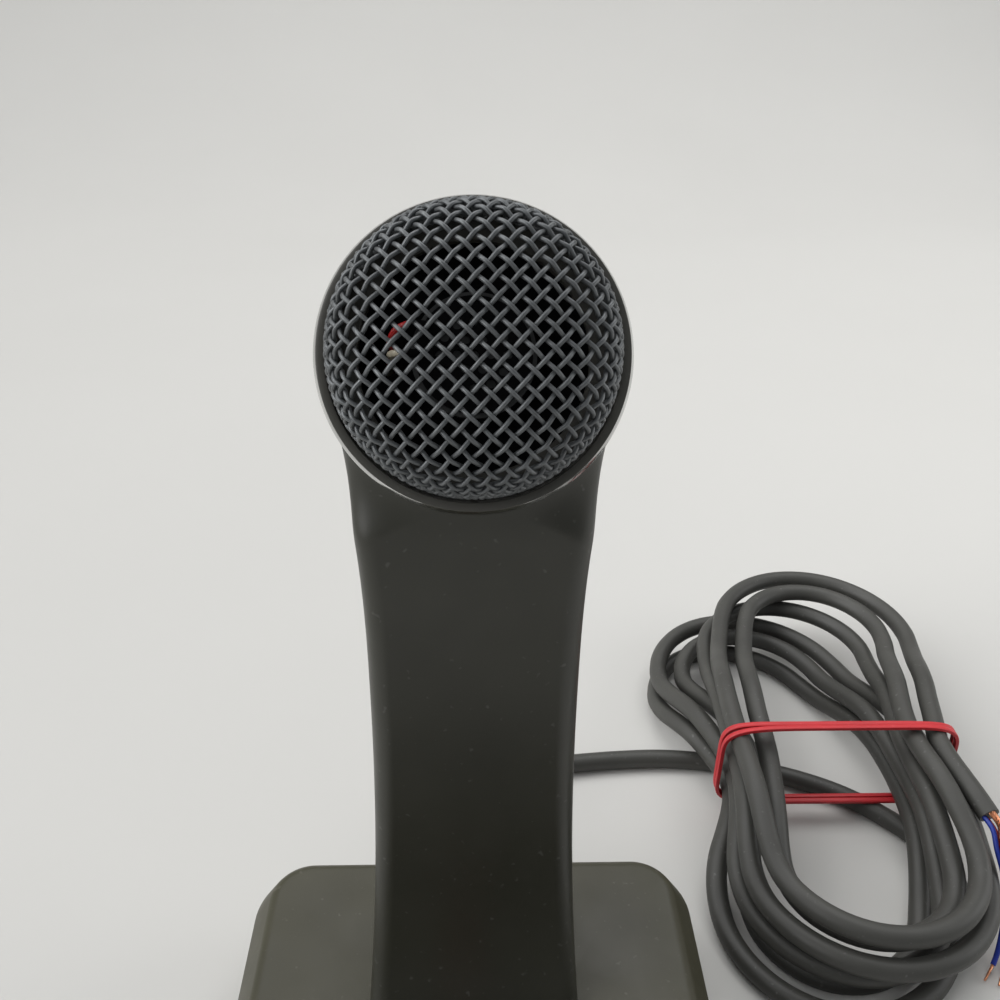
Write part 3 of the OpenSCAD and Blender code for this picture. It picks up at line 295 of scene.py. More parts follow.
def even(points, step):
    p = np.array(points, float)
    d = np.concatenate([[0], np.cumsum(np.linalg.norm(np.diff(p, axis=0), axis=1))])
    n = max(2, int(round(d[-1] / step)) + 1)
    x = np.linspace(0, d[-1], n)
    return np.stack([np.interp(x, d, p[:, k]) for k in range(3)], 1)


def sides_along(path, closed=False, first=(0.13, 0.21, 0.97)):
    """Two directions across the path at each point, turning as little as they can."""
    p = np.array(path, float)
    if closed:
        t = np.roll(p, -1, 0) - np.roll(p, 1, 0)
    else:
        t = np.gradient(p, axis=0)
    t /= np.linalg.norm(t, axis=1)[:, None]
    u = np.zeros_like(p)
    side = np.array(first, float)
    for i in range(len(p)):
        side = side - (side @ t[i]) * t[i]
        side /= np.linalg.norm(side)
        u[i] = side
    return u, np.cross(t, u)


def tube_faces(rows, k, closed=False):
    """Faces round rows of k points each; an open tube gets end caps."""
    faces = []
    for i in range(rows if closed else rows - 1):
        a, b = i * k, (i + 1) % rows * k
        faces += [(a + j, a + (j + 1) % k, b + (j + 1) % k, b + j) for j in range(k)]
    if not closed:
        faces += [tuple(range(k - 1, -1, -1)), tuple((rows - 1) * k + j for j in range(k))]
    return faces


def around(path, profile, u, v):
    """The closed profile set across the path at each of its points."""
    across = profile[None, :, :1] * u[:, None] + profile[None, :, 1:] * v[:, None]
    return (path[:, None] + across).reshape(-1, 3)


def sweep(path, profile, closed=False, first=(0.13, 0.21, 0.97)):
    """Tube of a closed profile along a path."""
    p, pr = np.array(path, float), np.array(profile, float)
    return around(p, pr, *sides_along(p, closed, first)), tube_faces(len(p), len(pr), closed)


def disc(r, sides):
    angles = [2 * math.pi * (i + 0.5) / sides for i in range(sides)]
    return [(r * math.cos(a), r * math.sin(a)) for a in angles]


def join(parts):
    verts, faces, n = [], [], 0
    for v, f in parts:
        verts.append(np.array(v, float))
        faces += [tuple(i + n for i in x) for x in f]
        n += len(v)
    return np.vstack(verts), faces


def lathe(profile, segs, place):
    """Closed ring or solid of revolution; place maps (x, y, z) rows to the part's frame."""
    pr = np.array(profile, float)
    a = np.linspace(0, 2 * math.pi, segs, endpoint=False)
    pts = np.stack([np.outer(np.cos(a), pr[:, 0]), np.outer(np.sin(a), pr[:, 0]),
                    np.outer(np.ones(segs), pr[:, 1])], 2).reshape(-1, 3)
    return place(pts), tube_faces(segs, len(pr), closed=True)


def along_y(z):
    """Places a turned shape with its axis along y at height z."""
    return lambda p: np.stack([p[:, 0], p[:, 2], z + p[:, 1]], 1)


def cut(obj, verts, faces):
    """Takes a closed shape out of a piece."""
    mesh = mesh_of("cutter", verts, faces, weld=5e-6)
    tool = linked("cutter", mesh)
    mod = obj.modifiers.new("cut", "BOOLEAN")
    mod.operation = "DIFFERENCE"
    mod.solver = "EXACT"
    mod.object = tool
    bpy.context.view_layer.update()
    dg = bpy.context.evaluated_depsgraph_get()
    done = bpy.data.meshes.new_from_object(obj.evaluated_get(dg))
    obj.modifiers.remove(mod)
    old = obj.data
    obj.data = done
    bpy.data.objects.remove(tool)
    bpy.data.meshes.remove(mesh)
    bpy.data.meshes.remove(old)


# ---------------------------------------------------------------- cable, as in the source

CABLE_R, CABLE_STEP = 3.0, 2.2
RELIEF_END = (0, 99, 13)
LEAD = [(0, 106, 13), (1.5, 113.5, 11.7), (6, 120.5, 9), (13, 126, 6.4), (22, 129.5, 4.4), (33, 131.5, 3.3),
        (47, 133, 3.1), (62, 133.5, 3.1), (77, 132, 3.1), (92, 128.5, 3.1), (106, 123.5, 3.1),
        (118, 117, 3.1), (128, 108.5, 3.1), (135.5, 99.5, 3.1), (139.8, 90.5, 3.1), (141, 82, 3.1)]
END = [(140.6, 103, 32), (141.6, 96, 31.7), (142.9, 89.5, 31), (144.4, 83.5, 29.6)]
HANK_X, HANK_Y, HANK_Z = 109, 112, 3.1
HANK_R, SPREAD, DRAW, DRAW_L = 22, 13, 2, 26
NEAR_BOW, FAR_BOW, SOFT = (-0.62, -0.4, -0.08, 0.12), (-0.65, -0.4, 0.14, 0.38), 40
FAR, NEAR = (46, 52, 58, 62), 34
CLIMB, SHARE, STEP_UP = 3, 0.14, 7
RISE, FLAT, FLAT_BACK, RAMP_L = 8.4, 17, 4, 36
U_START, U_END, PER_BEND, RUN_IN = 0.2, 11.94, 12, 6


def hank_point(u):
    """Middle of the cable in the hank; u counts the bends, near and far by turns."""
    j = math.floor(u)
    f, far, k = u - j, j % 2 == 1, min(j // CLIMB, 3)
    m = (u % (2 * CLIMB)) / CLIMB
    r = HANK_R + SPREAD * (1 - m if m < 1 else m - 1)
    run = FAR[k] if far else NEAR
    bend = math.pi * r
    total = 2 * run + bend
    d = f * total
    if d < run:
        p = (d, r)
    elif d > total - run:
        p = (total - d, -r)
    else:
        a = math.pi * (d - run) / bend
        p = (run + r * math.sin(a), r * math.cos(a))
    q = p[1] - math.copysign(1, p[1]) * DRAW * math.exp(-(p[0] / DRAW_L) ** 2)
    x, y = (-q, p[0]) if far else (q, -p[0])
    bow, reach = (FAR_BOW if far else NEAR_BOW)[k], math.hypot(y, SOFT)
    a = math.atan(bow * y / reach)
    wx = HANK_X + bow * (reach - SOFT) + x * math.cos(a)
    wy = HANK_Y + y - x * math.sin(a)
    up = sum(ease((u - n * CLIMB + SHARE) / (2 * SHARE)) for n in (1, 2, 3))
    rise = RISE * (1 - ease((abs(wy - HANK_Y - FLAT_BACK) - FLAT) / RAMP_L))
    return np.array((wx, wy, HANK_Z + STEP_UP * up + rise))


def cable_path():
    count = round((U_END - U_START) * PER_BEND)
    step = (U_END - U_START) / count
    first, last = hank_point(U_START), hank_point(U_END)
    d_in = unit(hank_point(U_START + step) - first)
    d_out = unit(last - hank_point(U_END - step))
    lead = [RELIEF_END, *LEAD, first - 2 * RUN_IN * d_in, first - RUN_IN * d_in]
    loops = [hank_point(u) for u in np.linspace(U_START, U_END, count * 2)]
    end = [last + RUN_IN * d_out, last + 2 * RUN_IN * d_out, *END]
    return smooth_path([*lead, *loops, *end], CABLE_STEP)


def make_cable():
    pts = cable_path()
    curve = bpy.data.curves.new("cable", "CURVE")
    curve.dimensions = "3D"
    curve.bevel_depth = CABLE_R * MM
    curve.bevel_resolution = 4
    curve.use_fill_caps = True
    spline = curve.splines.new("POLY")
    spline.points.add(len(pts) - 1)
    flat = np.hstack([pts * MM, np.ones((len(pts), 1))]).ravel()
    spline.points.foreach_set("co", flat)
    spline.use_smooth = True
    obj = dress(linked("cable", curve), "cable", stands_for=("cord_lead", "cord_hank", "cord_end"))
    length = np.linalg.norm(np.diff(pts, axis=0), axis=1).sum() * MM
    return obj, float(length)


def make_band():
    """Doubled red band: two flat strands side by side round the hank, a little uneven."""
    lo, hi = box_mm("rubber_band")
    inset, steps, square = 0.55, 120, 2 / 6.5
    c, half = (lo + hi) / 2, (hi - lo) / 2 - inset
    profile = [(0.45, 0.8), (-0.45, 0.8), (-0.62, 0.55), (-0.62, -0.55),
               (-0.45, -0.8), (0.45, -0.8), (0.62, -0.55), (0.62, 0.55)]
    parts = []
    for k, off in enumerate((-1.0, 1.0)):
        path = []
        for i in range(steps):
            a = 2 * math.pi * i / steps
            x = half[0] * math.copysign(abs(math.cos(a)) ** square, math.cos(a))
            z = half[2] * math.copysign(abs(math.sin(a)) ** square, math.sin(a))
            y = off * (1 + 0.12 * math.sin(3 * a + k)) + 0.35 * math.sin(2 * a + 2 * k)
            path.append((c[0] + x, c[1] + y, c[2] + z))
        path.append(path[0])
        path = even(path, 1.2)[:-1]
        parts.append(sweep(path, profile, closed=True, first=(-1, 0, 0.05)))
    v, f = join(parts)
    return piece("elastic_band", v, f, "band", stands_for=("rubber_band",))


# Place across the cable's end, and the way on from it.
CORES = {
    "red": (0, -1.7, [(145.8, 74.5, 23.2), (146.8, 68.5, 15.5), (145.8, 62.5, 7.8), (143.4, 56.5, 2.4),
                      (140, 51.5, 0.8)]),
    "blue": (1.7, 0, [(143.8, 75.5, 25.7), (144.8, 69.5, 19.5), (143.9, 63.5, 11.5), (141, 57.5, 4),
                      (136.8, 53, 0.8)]),
    "white": (-1.7, 0, [(148, 75.5, 24.4), (149, 69, 16.2), (148.3, 62, 7.5), (146.4, 55.5, 2),
                        (143.4, 49.5, 0.8)]),
}
BRAID = (0, 1.7, [(145.6, 76.5, 28), (146.4, 72.5, 24.6)])
CORE_R, CORE_STEP, STRIPPED = 0.7, 0.6, 8
STRANDS, STRAND_R, STRAND_TWIST = 4, 0.2, 0.22
BRAID_STRANDS, BRAID_R, BRAID_WIRE_R, BRAID_STEP, BRAID_LAY = 9, 0.72, 0.27, 0.5, 0.42


def core_path(across, up, route):
    tip = np.array(END[-1], float)
    out = unit(tip - np.array(END[-2]))
    top = unit(np.array((0, 0, 1)) - out[2] * out)
    start = tip + across * np.cross(out, top) + up * top
    return [start - 0.6 * out, start, start + 4 * out, *route]


def make_cores():
    out = []
    for name, core in CORES.items():
        path = smooth_path(core_path(*core), CORE_STEP)
        end = len(path) - STRIPPED
        v, f = sweep(path[:end], disc(CORE_R, 12))
        out.append(piece("core_" + name, v, f, name, stands_for=("bare_core_" + name,)))
        tips = []
        for k in range(STRANDS):
            a = math.pi / 2 * k
            turns = [np.array((math.cos(a + 0.5 * i), 0.3 * math.sin(a), math.sin(a + 0.5 * i)))
                     for i in range(STRIPPED + 3)]
            twisted = [p + STRAND_TWIST * turn for p, turn in zip(path[end - 3:], turns)]
            tips.append(sweep(twisted, disc(STRAND_R, 6)))
        v, f = join(tips)
        v[:, 2] = np.maximum(v[:, 2], 0.05)
        out.append(piece("strands_" + name, v, f, "copper"))
    path = smooth_path(core_path(*BRAID), BRAID_STEP)
    u, w = sides_along(path)
    fray = np.linspace(0, 1, len(path)) ** 3
    parts = []
    for k in range(BRAID_STRANDS):
        r = BRAID_R + 0.5 * fray * (1 + 0.5 * math.sin(5 * k))
        a = 2 * math.pi * k / BRAID_STRANDS + BRAID_LAY * np.arange(len(path))
        strand = path + (r * np.cos(a))[:, None] * u + (r * np.sin(a))[:, None] * w
        strand[:, 2] = np.maximum(strand[:, 2], 0.35)
        parts.append(sweep(strand, disc(BRAID_WIRE_R, 6)))
    v, f = join(parts)
    out.append(piece("copper_braid", v, f, "copper", stands_for=("bare_braid",)))
    return out


HALF_W, HALF_D, CORNER = 56.0, 73.0, 15.0
BEVEL_IN, BEVEL_DOWN, WALL, FOOT_H = 5.5, 9.0, 2.6, 2.5
FLANGE_R, FLANGE, NECK_R, BORE_R, COLLAR = 7, 2.2, 4.9, 3.05, 2.2
RIBS, RIB_R, RIB_TIP_R, GROOVE_R = 4, 5.8, 4.3, 4.05


def make_relief():
    """Ribbed boot: collar against the base, then a tapering neck with rounded ribs."""
    low, tip = HALF_D - WALL - FLANGE, RELIEF_END[1]
    foot = HALF_D + COLLAR
    boot = tip - foot
    prof = [(BORE_R, tip), (BORE_R, low), (FLANGE_R, low), (FLANGE_R, low + FLANGE), (NECK_R, low + FLANGE),
            (NECK_R, HALF_D), (6.7, HALF_D), (FLANGE_R, HALF_D + 0.3), (FLANGE_R, foot - 0.3), (6.7, foot),
            (5.9, foot)]
    for i in range(RIBS):
        y0 = foot + boot * (3 * i + 1.5) / (3 * RIBS)
        y1 = y0 + boot / (3 * RIBS)
        ra, rb = (lerp(RIB_R, RIB_TIP_R, (y - foot) / boot) for y in (y0, y1))
        prof += [(ra, y0 - 0.35), (ra - 0.12, y0 - 0.1), (ra - 0.4, y0), (GROOVE_R + 0.1, y0 + 0.05),
                 (GROOVE_R, y0 + 0.3), (GROOVE_R, y1 - 0.3), (GROOVE_R + 0.1, y1 - 0.05), (rb - 0.4, y1),
                 (rb - 0.12, y1 + 0.1), (rb, y1 + 0.35)]
    prof += [(4.32, tip - 0.4), (4.2, tip - 0.1), (3.9, tip)]
    v, f = lathe(prof, 72, along_y(RELIEF_END[2]))
    return piece("cable_boot", v, f, "relief", angle=50, stands_for=("strain_relief",))


cable, cable_length = make_cable()
band = make_band()
cores = make_cores()
boot = make_relief()


# ---------------------------------------------------------------- head

FAN_A = math.radians(60)
PIVOT = (28.0, 150.0)
FAN_NEAR, TOP_R = 10.1, 26.0
HEAD_DIR = np.array((0, math.cos(FAN_A), math.sin(FAN_A)))
HEAD_AXIS = np.array((0, -math.sin(FAN_A), math.cos(FAN_A)))
HEAD_C = np.array((0, *PIVOT)) + (FAN_NEAR + TOP_R) * HEAD_DIR
RING_SEGS = 256
CLOTH_MID = 0.66
DOME_R, DOME_H, DOME_RIM, DOME_POWER = 24.0 - CLOTH_MID, 19.5 - CLOTH_MID, 3.0, 3.4
CLOTH_PITCH, CLOTH_WIRE_R, CLOTH_WAVE, CLOTH_TURN = 2.28, 0.375, 0.30, math.radians(47)
CLOTH_END, SKIRT_END = 0.9, -4.0


def head_place(p):
    p = np.asarray(p, float)
    return HEAD_C + p[:, :1] * np.array((1, 0, 0)) + p[:, 1:2] * HEAD_DIR + p[:, 2:3] * HEAD_AXIS


def make_ring():
    """Dark ring with a bright cut edge; the edge is a thin band let into it."""
    face = [(19.5, 0.6), (24.25, 0.6), (24.45, 0.8), (24.45, 3.75), (24.52, 3.93), (24.7, 4.0),
            (25.78, 4.0), (25.92, 3.93)]
    edge = [(25.92, 3.93), (26.0, 3.80), (26.42, 2.75), (26.49, 2.55), (26.5, 2.40), (26.5, 1.40)]
    rest = [(26.5, 1.40), (26.5, 0.15), (26.4, 0.0), (22.3, 0.0), (22.3, -4.0), (20.3, -4.0),
            (20.3, -1.5), (19.5, -1.5)]
    under = [(25.80, 1.40), (25.80, 3.90)]
    v, f = lathe(face + under[::-1] + rest, RING_SEGS, head_place)
    piece("trim_ring", v, f, "ring", angle=30, stands_for=("head_ring",))
    v, f = lathe(edge + under, RING_SEGS, head_place)
    piece("ring_edge", v, f, "edge", angle=30, stands_for=("head_ring",))


def dome_line(low):
    """Arc length from the crown, with the radius, height and outward normal of the dome there."""
    a = np.linspace(math.pi / 2, 0, 1500)
    x = DOME_R * np.abs(np.cos(a)) ** (2 / DOME_POWER)
    z = DOME_RIM + DOME_H * np.abs(np.sin(a)) ** (2 / DOME_POWER)
    x = np.concatenate([x, [DOME_R] * 40])
    z = np.concatenate([z, np.linspace(DOME_RIM, low, 41)[1:]])
    s = np.concatenate([[0], np.cumsum(np.hypot(np.diff(x), np.diff(z)))])
    grid = np.arange(0, s[-1], 0.05)
    x, z = np.interp(grid, s, x), np.interp(grid, s, z)
    dx, dz = np.gradient(x), np.gradient(z)
    n = np.hypot(dx, dz)
    wide = 25
    nx, nz = (np.convolve(np.pad(c, wide // 2, mode="edge"), np.ones(wide) / wide, "valid")
              for c in (-dz / n, dx / n))
    return grid, x, z, nx, nz


def make_dome():
    """Plain weave pressed into a dome: its wires crowd towards the rim, as pressed cloth's do."""
    fine, first, fewest = 8, (0, 5), 8
    s, rx, rz, nx, nz = dome_line(SKIRT_END)
    reach = dome_line(CLOTH_END)[0][-1]
    n = int(reach / CLOTH_PITCH * fine) + 2
    along = np.arange(-n, n + 1)
    u, v = np.meshgrid(along, along, indexing="ij")
    arc, angle = np.hypot(u, v) * CLOTH_PITCH / fine, np.arctan2(v, u)
    profile = np.array(disc(CLOTH_WIRE_R, 8))
    parts = []
    for family, sign in ((0, -1), (1, 1)):
        for j in along:
            if (j - first[1 - family]) % fine:
                continue
            row = (slice(None), j + n) if family == 0 else (j + n, slice(None))
            inside = arc[row] <= reach
            if inside.sum() < fewest:
                continue
            rho, a, t = arc[row][inside], angle[row][inside] + CLOTH_TURN, along[inside]
            cos, sin = np.cos(a), np.sin(a)
            r, z, na, nb = (np.interp(rho, s, c) for c in (rx, rz, nx, nz))
            normal = np.stack([na * cos, na * sin, nb], 1)
            phase = math.pi * (t - first[family] + j - first[1 - family]) / fine
            wave = np.cos(phase) * CLOTH_WAVE * sign
            path = np.stack([r * cos, r * sin, z], 1) + wave[:, None] * normal
            tangent = np.gradient(path, axis=0)
            tangent /= np.linalg.norm(tangent, axis=1)[:, None]
            side = np.cross(tangent, normal)
            side /= np.linalg.norm(side, axis=1)[:, None]
            wire = around(path, profile, np.cross(side, tangent), side)
            parts.append((wire, tube_faces(len(path), len(profile))))
    v, f = join(parts)
    piece("woven_dome", head_place(v), f, "wire", angle=60, stands_for=("head_grille",))


make_ring()
make_dome()


# ---------------------------------------------------------------- column

BASE_H, LEAN_H, WAIST_H, FLARE_H = 32.0, 118.0, 88.0, 60
FRONT_Y, BACK_Y, TOE = 34.0, 62.5, 10
WAIST_W, FOOT_W, SHELL, SEAM = 20.1, 23.6, 2.2, 0.15
FRONT_R, BACK_R, FLARE = 4.5, 11.0, 2.6
LIFT_STEPS, FAN_STEPS, ROUND_STEPS = 72, 48, 14
PORT_R, TOWER_R, TOWER_BORE, TOWER_END, TOWER_INTO = 3.2, 4.6, 1.7, 3, 1.2
FOOT_BLOCK_BACK = 44.5 + 12.2


def front_at(h):
    return FRONT_Y - TOE * (1 - h / LEAN_H) ** 6


def back_at(h):
    return BACK_Y + (h / LEAN_H) ** 2


def seam_at(h):
    return lerp(front_at(h), back_at(h), 0.5)


def half_w(h, run):
    if h < WAIST_H:
        return WAIST_W + (FOOT_W - WAIST_W) * ((WAIST_H - h) / WAIST_H) ** 2
    return WAIST_W + (TOP_R - WAIST_W) * run ** FLARE


def front_half_w(s):
    w = half_w(LEAN_H, 0.5)
    slope = FLARE * 0.5 ** (FLARE - 1) * (TOP_R - WAIST_W) / FLARE_H * (FRONT_Y - PIVOT[0]) * FAN_A
    return w + slope * s + (TOP_R - w - slope) * s ** 5


def stations():
    """Sections up the column: tilt, front point, depth, half width, share of the fan, front half width."""
    out = []
    for h in np.linspace(0, LEAN_H, LIFT_STEPS + 1):
        w = half_w(h, (h - WAIST_H) / FLARE_H)
        out.append((0.0, (front_at(h), BASE_H + h), back_at(h) - front_at(h), w, 0.0, w))
    for s in np.linspace(0, 1, FAN_STEPS + 1)[1:]:
        a = FAN_A * s
        near = lerp((FRONT_Y - PIVOT[0]) / math.cos(a), FAN_NEAR, s ** 8)
        far = lerp((back_at(LEAN_H) - PIVOT[0]) / math.cos(a), FAN_NEAR + 2 * TOP_R, s * s)
        out.append((a, (PIVOT[0] + near * math.cos(a), PIVOT[1] + near * math.sin(a)), far - near,
                    half_w(LEAN_H, lerp(0.5, 1, s)), s, front_half_w(s)))
    return out


def edge_r(flat, s):
    return lerp(flat, TOP_R, s ** 3)


def arc_points(cx, cy, r, a0):
    """Quarter round from the angle a0 on."""
    angles = np.radians(np.linspace(a0, a0 + 90, ROUND_STEPS))
    return [(cx + r * math.cos(a), cy + r * math.sin(a)) for a in angles]


def outline(station, inset, front):
    """One shell's half of a section, drawn in by inset."""
    tilt, (y0, z0), d, w, s, front_w = station
    f, b = edge_r(FRONT_R, s), edge_r(BACK_R, s)
    e = front_w - f
    mid = f + (d - f - b) / 2
    if front:
        q = mid - SEAM / 2
        pts = [(-w + inset, q), *arc_points(-e, f, f - inset, 180), *arc_points(e, f, f - inset, 270),
               (w - inset, q)]
    else:
        q = mid + SEAM / 2
        pts = [(w - inset, q), *arc_points(w - b, d - b, b - inset, 0),
               *arc_points(-w + b, d - b, b - inset, 90), (-w + inset, q)]
    return np.array([(x, y0 + y * math.cos(tilt), z0 + y * math.sin(tilt)) for x, y in pts])


def channel(front):
    """One shell of the column: its outside and inside, joined at the seam and at both ends."""
    rows = [np.vstack([outline(st, 0, front), outline(st, SHELL, front)[::-1]]) for st in stations()]
    k, m, n = len(rows[0]), len(rows), len(rows[0]) // 2
    faces = [(i * k + j, (i + 1) * k + j, (i + 1) * k + (j + 1) % k, i * k + (j + 1) % k)
             for i in range(m - 1) for j in range(k)]
    for base in (0, (m - 1) * k):
        faces += [(base + j, base + j + 1, base + k - 2 - j, base + k - 1 - j) for j in range(n - 1)]
    return np.vstack(rows), faces


def cylinder_y(z, y0, y1, r):
    near_axis = 0.001
    return lathe([(near_axis, y0), (r, y0), (r, y1), (near_axis, y1)], 48, along_y(z))


def make_column():
    crease = 40
    v, f = channel(True)
    piece("front_shell", v, f, "column", angle=crease, stands_for=("column_front",))
    v, f = channel(False)
    rear = piece("rear_shell", v, f, "column", angle=crease, stands_for=("column_rear",))
    towers = []
    for h, y in ((38, seam_at(38) + SEAM), (98, seam_at(98) + SEAM), (7, FOOT_BLOCK_BACK)):
        back = back_at(h)
        cut(rear, *cylinder_y(BASE_H + h, back - 6, back + 4, PORT_R))
        prof = [(PORT_R, back - TOWER_INTO), (PORT_R, y + TOWER_END), (TOWER_BORE, y + TOWER_END),
                (TOWER_BORE, y), (TOWER_R, y), (TOWER_R, back - TOWER_INTO)]
        towers.append(lathe(prof, 48, along_y(BASE_H + h)))
    v, f = join(towers)
    piece("rear_towers", v, f, "column")
    shade(rear, crease)


make_column()


# ---------------------------------------------------------------- base

RIDGE_Y, RIDGE_SOFT, SLOPE_A = -9.0, 2.0, math.atan(10 / 58.5)
LOCK_Y = 7.5
CORNERS = ((1, 1, 0), (-1, 1, 90), (-1, -1, 180), (1, -1, 270))
BEVEL_LOW_R, BEVEL_TOP_R = 5.0, 3.2


def top_at(y, lower):
    """Height of the top at y, with a soft ridge."""
    a = BASE_H - lower
    b = BASE_H - lower + (y - RIDGE_Y) * math.tan(SLOPE_A)
    if y > RIDGE_Y + RIDGE_SOFT:
        return a
    if y < RIDGE_Y - RIDGE_SOFT:
        return b
    return a - math.tan(SLOPE_A) * (RIDGE_Y + RIDGE_SOFT - y) ** 2 / (4 * RIDGE_SOFT)


def fillet(a, b, c, r, n):
    """Points of the round that joins a-b to b-c."""
    a, b, c = (np.array(p, float) for p in (a, b, c))
    u, w = unit(a - b), unit(c - b)
    half = math.acos(max(-1, min(1, float(u @ w)))) / 2
    o = b + unit(u + w) * r / math.sin(half)
    p, q = b + u * r / math.tan(half) - o, b + w * r / math.tan(half) - o
    ang = math.acos(max(-1, min(1, float(p @ q) / r / r)))
    return [o + (math.sin((1 - t) * ang) * p + math.sin(t * ang) * q) / math.sin(ang)
            for t in np.linspace(0, 1, n)]


def plan(inset):
    """Rounded rectangle of the base drawn in by inset, with points on its long sides at the ridge."""
    r = CORNER - inset
    out = []
    for sx, sy, a0 in CORNERS:
        for a in np.radians(np.linspace(a0, a0 + 90, 18)):
            out.append((sx * (HALF_W - CORNER) + r * math.cos(a), sy * (HALF_D - CORNER) + r * math.sin(a)))
    for side in (-1, 1):
        out += [(side * (HALF_W - inset), y)
                for y in np.linspace(RIDGE_Y - RIDGE_SOFT, RIDGE_Y + RIDGE_SOFT, 7)]
    return out


def hull(points):
    bm = bmesh.new()
    for p in points:
        bm.verts.new(p)
    bmesh.ops.remove_doubles(bm, verts=bm.verts, dist=1e-4)
    got = bmesh.ops.convex_hull(bm, input=bm.verts)
    spare = {e for e in got["geom_interior"] + got["geom_unused"] if isinstance(e, bmesh.types.BMVert)}
    bmesh.ops.delete(bm, geom=list(spare), context="VERTS")
    bmesh.ops.dissolve_limit(bm, angle_limit=math.radians(0.2), verts=bm.verts, edges=bm.edges)
    bmesh.ops.recalc_face_normals(bm, faces=bm.faces)
    bm.verts.index_update()
    v = [tuple(x.co) for x in bm.verts]
    f = [tuple(x.index for x in face.verts) for face in bm.faces]
    bm.free()
    return v, f


def plinth(inset, bottom):
    """The base's block with its bevelled rim, drawn in by inset."""
    side, mid, top, flat = (0, -30), (0, -BEVEL_DOWN), (BEVEL_IN, 0), (BEVEL_IN + 10, 0)
    rim = fillet(side, mid, top, BEVEL_LOW_R, 6) + fillet(mid, top, flat, BEVEL_TOP_R, 8)
    points = []
    for d, dz in rim:
        points += [(x, y, top_at(y, inset) + dz) for x, y in plan(d + inset)]
    points += [(x, y, bottom) for x, y in plan(inset)]
    return hull(points)


def slab(half_x, y0, y1, levels, place):
    """Rounded rectangle carried through (height, growth) levels: a cutter with eased edges."""
    r0, per_corner = 0.8, 5
    verts = []
    for z, grow in levels:
        for sx, sy, a0 in CORNERS:
            cx, cy = sx * (half_x - r0), (y1 if sy > 0 else y0) - sy * r0
            for a in np.radians(np.linspace(a0, a0 + 90, per_corner)):
                verts.append(place((cx + (r0 + grow) * math.cos(a), cy + (r0 + grow) * math.sin(a), z)))
    return verts, tube_faces(len(levels), len(CORNERS) * per_corner)


def on_slope(p):
    x, y, z = p
    c, s = math.cos(SLOPE_A), math.sin(SLOPE_A)
    return (x, RIDGE_Y + y * c - z * s, BASE_H + y * s + z * c)


def at_lock(p):
    return (p[0], p[1] + LOCK_Y, p[2] + BASE_H)


def make_base():
    crease = 22
    v, f = plinth(0, FOOT_H)
    cover = piece("plinth_cover", v, f, "cover", angle=crease, stands_for=("base_cover",))
    cut(cover, *plinth(WALL, FOOT_H - 1))
    bar_window = [(-6, 0), (-0.35, 0), (-0.1, 0.1), (0.0, 0.35), (0.6, 0.95)]
    cut(cover, *slab(35, -50.1, -12.0, bar_window, on_slope))
    lock_recess = [(-1.2, 0), (-0.3, 0), (-0.08, 0.08), (0, 0.3), (0.6, 0.9)]
    cut(cover, *slab(9.1, -4.3, 4.3, lock_recess, at_lock))
    lock_slot = [(-4, 0), (-1.1, 0)]
    cut(cover, *slab(5.6, -2.1, 2.1, lock_slot, at_lock))
    shade(cover, crease)


make_base()


# ---------------------------------------------------------------- leads of the capsule

# Height on the capsule, x in the column, x at its foot, x at the terminals, x where the sleeve ends.
LEADS = {"red": (4.5, -7.5, 1.6, -2.5, -11.4), "white": (-0.2, -10.5, -1.8, -7.5, -12.5)}
LEAD_R, SLEEVE_R = 0.55, 0.74
CAPSULE_R, LEAD_OUT, PORT_X = 9.1, 2.6, -13.8


def make_capsule_wires():
    for name, (up, cx, fx, term, bare) in LEADS.items():
        x = -math.sqrt(CAPSULE_R ** 2 - up ** 2)
        in_head = head_place([
            (x, up, 3.3), (x, up, 4.5), (x - 1.04, up, 5), (x - LEAD_OUT, up, 5.8),
            (lerp(x - LEAD_OUT, PORT_X, 0.7), up * 0.8, 4.9), (PORT_X, up / 2, 3.2), (PORT_X, up * 0.3, -3.5),
            (-15, up / 2 - 3, -11.5), (cx - 3, up / 2 - 8, -20)])
        pts = [*in_head, (cx, seam_at(114) + 2, 144), (cx, seam_at(70), 102), (cx, seam_at(50), 82),
               (lerp(fx, cx, 0.6), seam_at(30), 62), (fx, 42.5, 49), (fx, 42.5, 34), (fx, 42, 24),
               (fx, 37.5, 17), (fx, 27.5, 16), (term, LOCK_Y, 16), (term, -14.37, 17), (term, -19.37, 16.4),
               (term, -24.07, 16.4)]
        path = smooth_path(pts, 0.9)
        v, f = sweep(path, disc(LEAD_R, 10))
        piece("lead_" + name, v, f, name, stands_for=("capsule_wire_" + name,))
        sleeved = path[:int(np.argmax(path[:, 0] < bare))]
        v, f = sweep(smooth_path(sleeved, 0.3), disc(SLEEVE_R, 12))
        piece("lead_sleeve_" + name, v, f, "felt")


make_capsule_wires()


# ---------------------------------------------------------------- springs of the talk bar

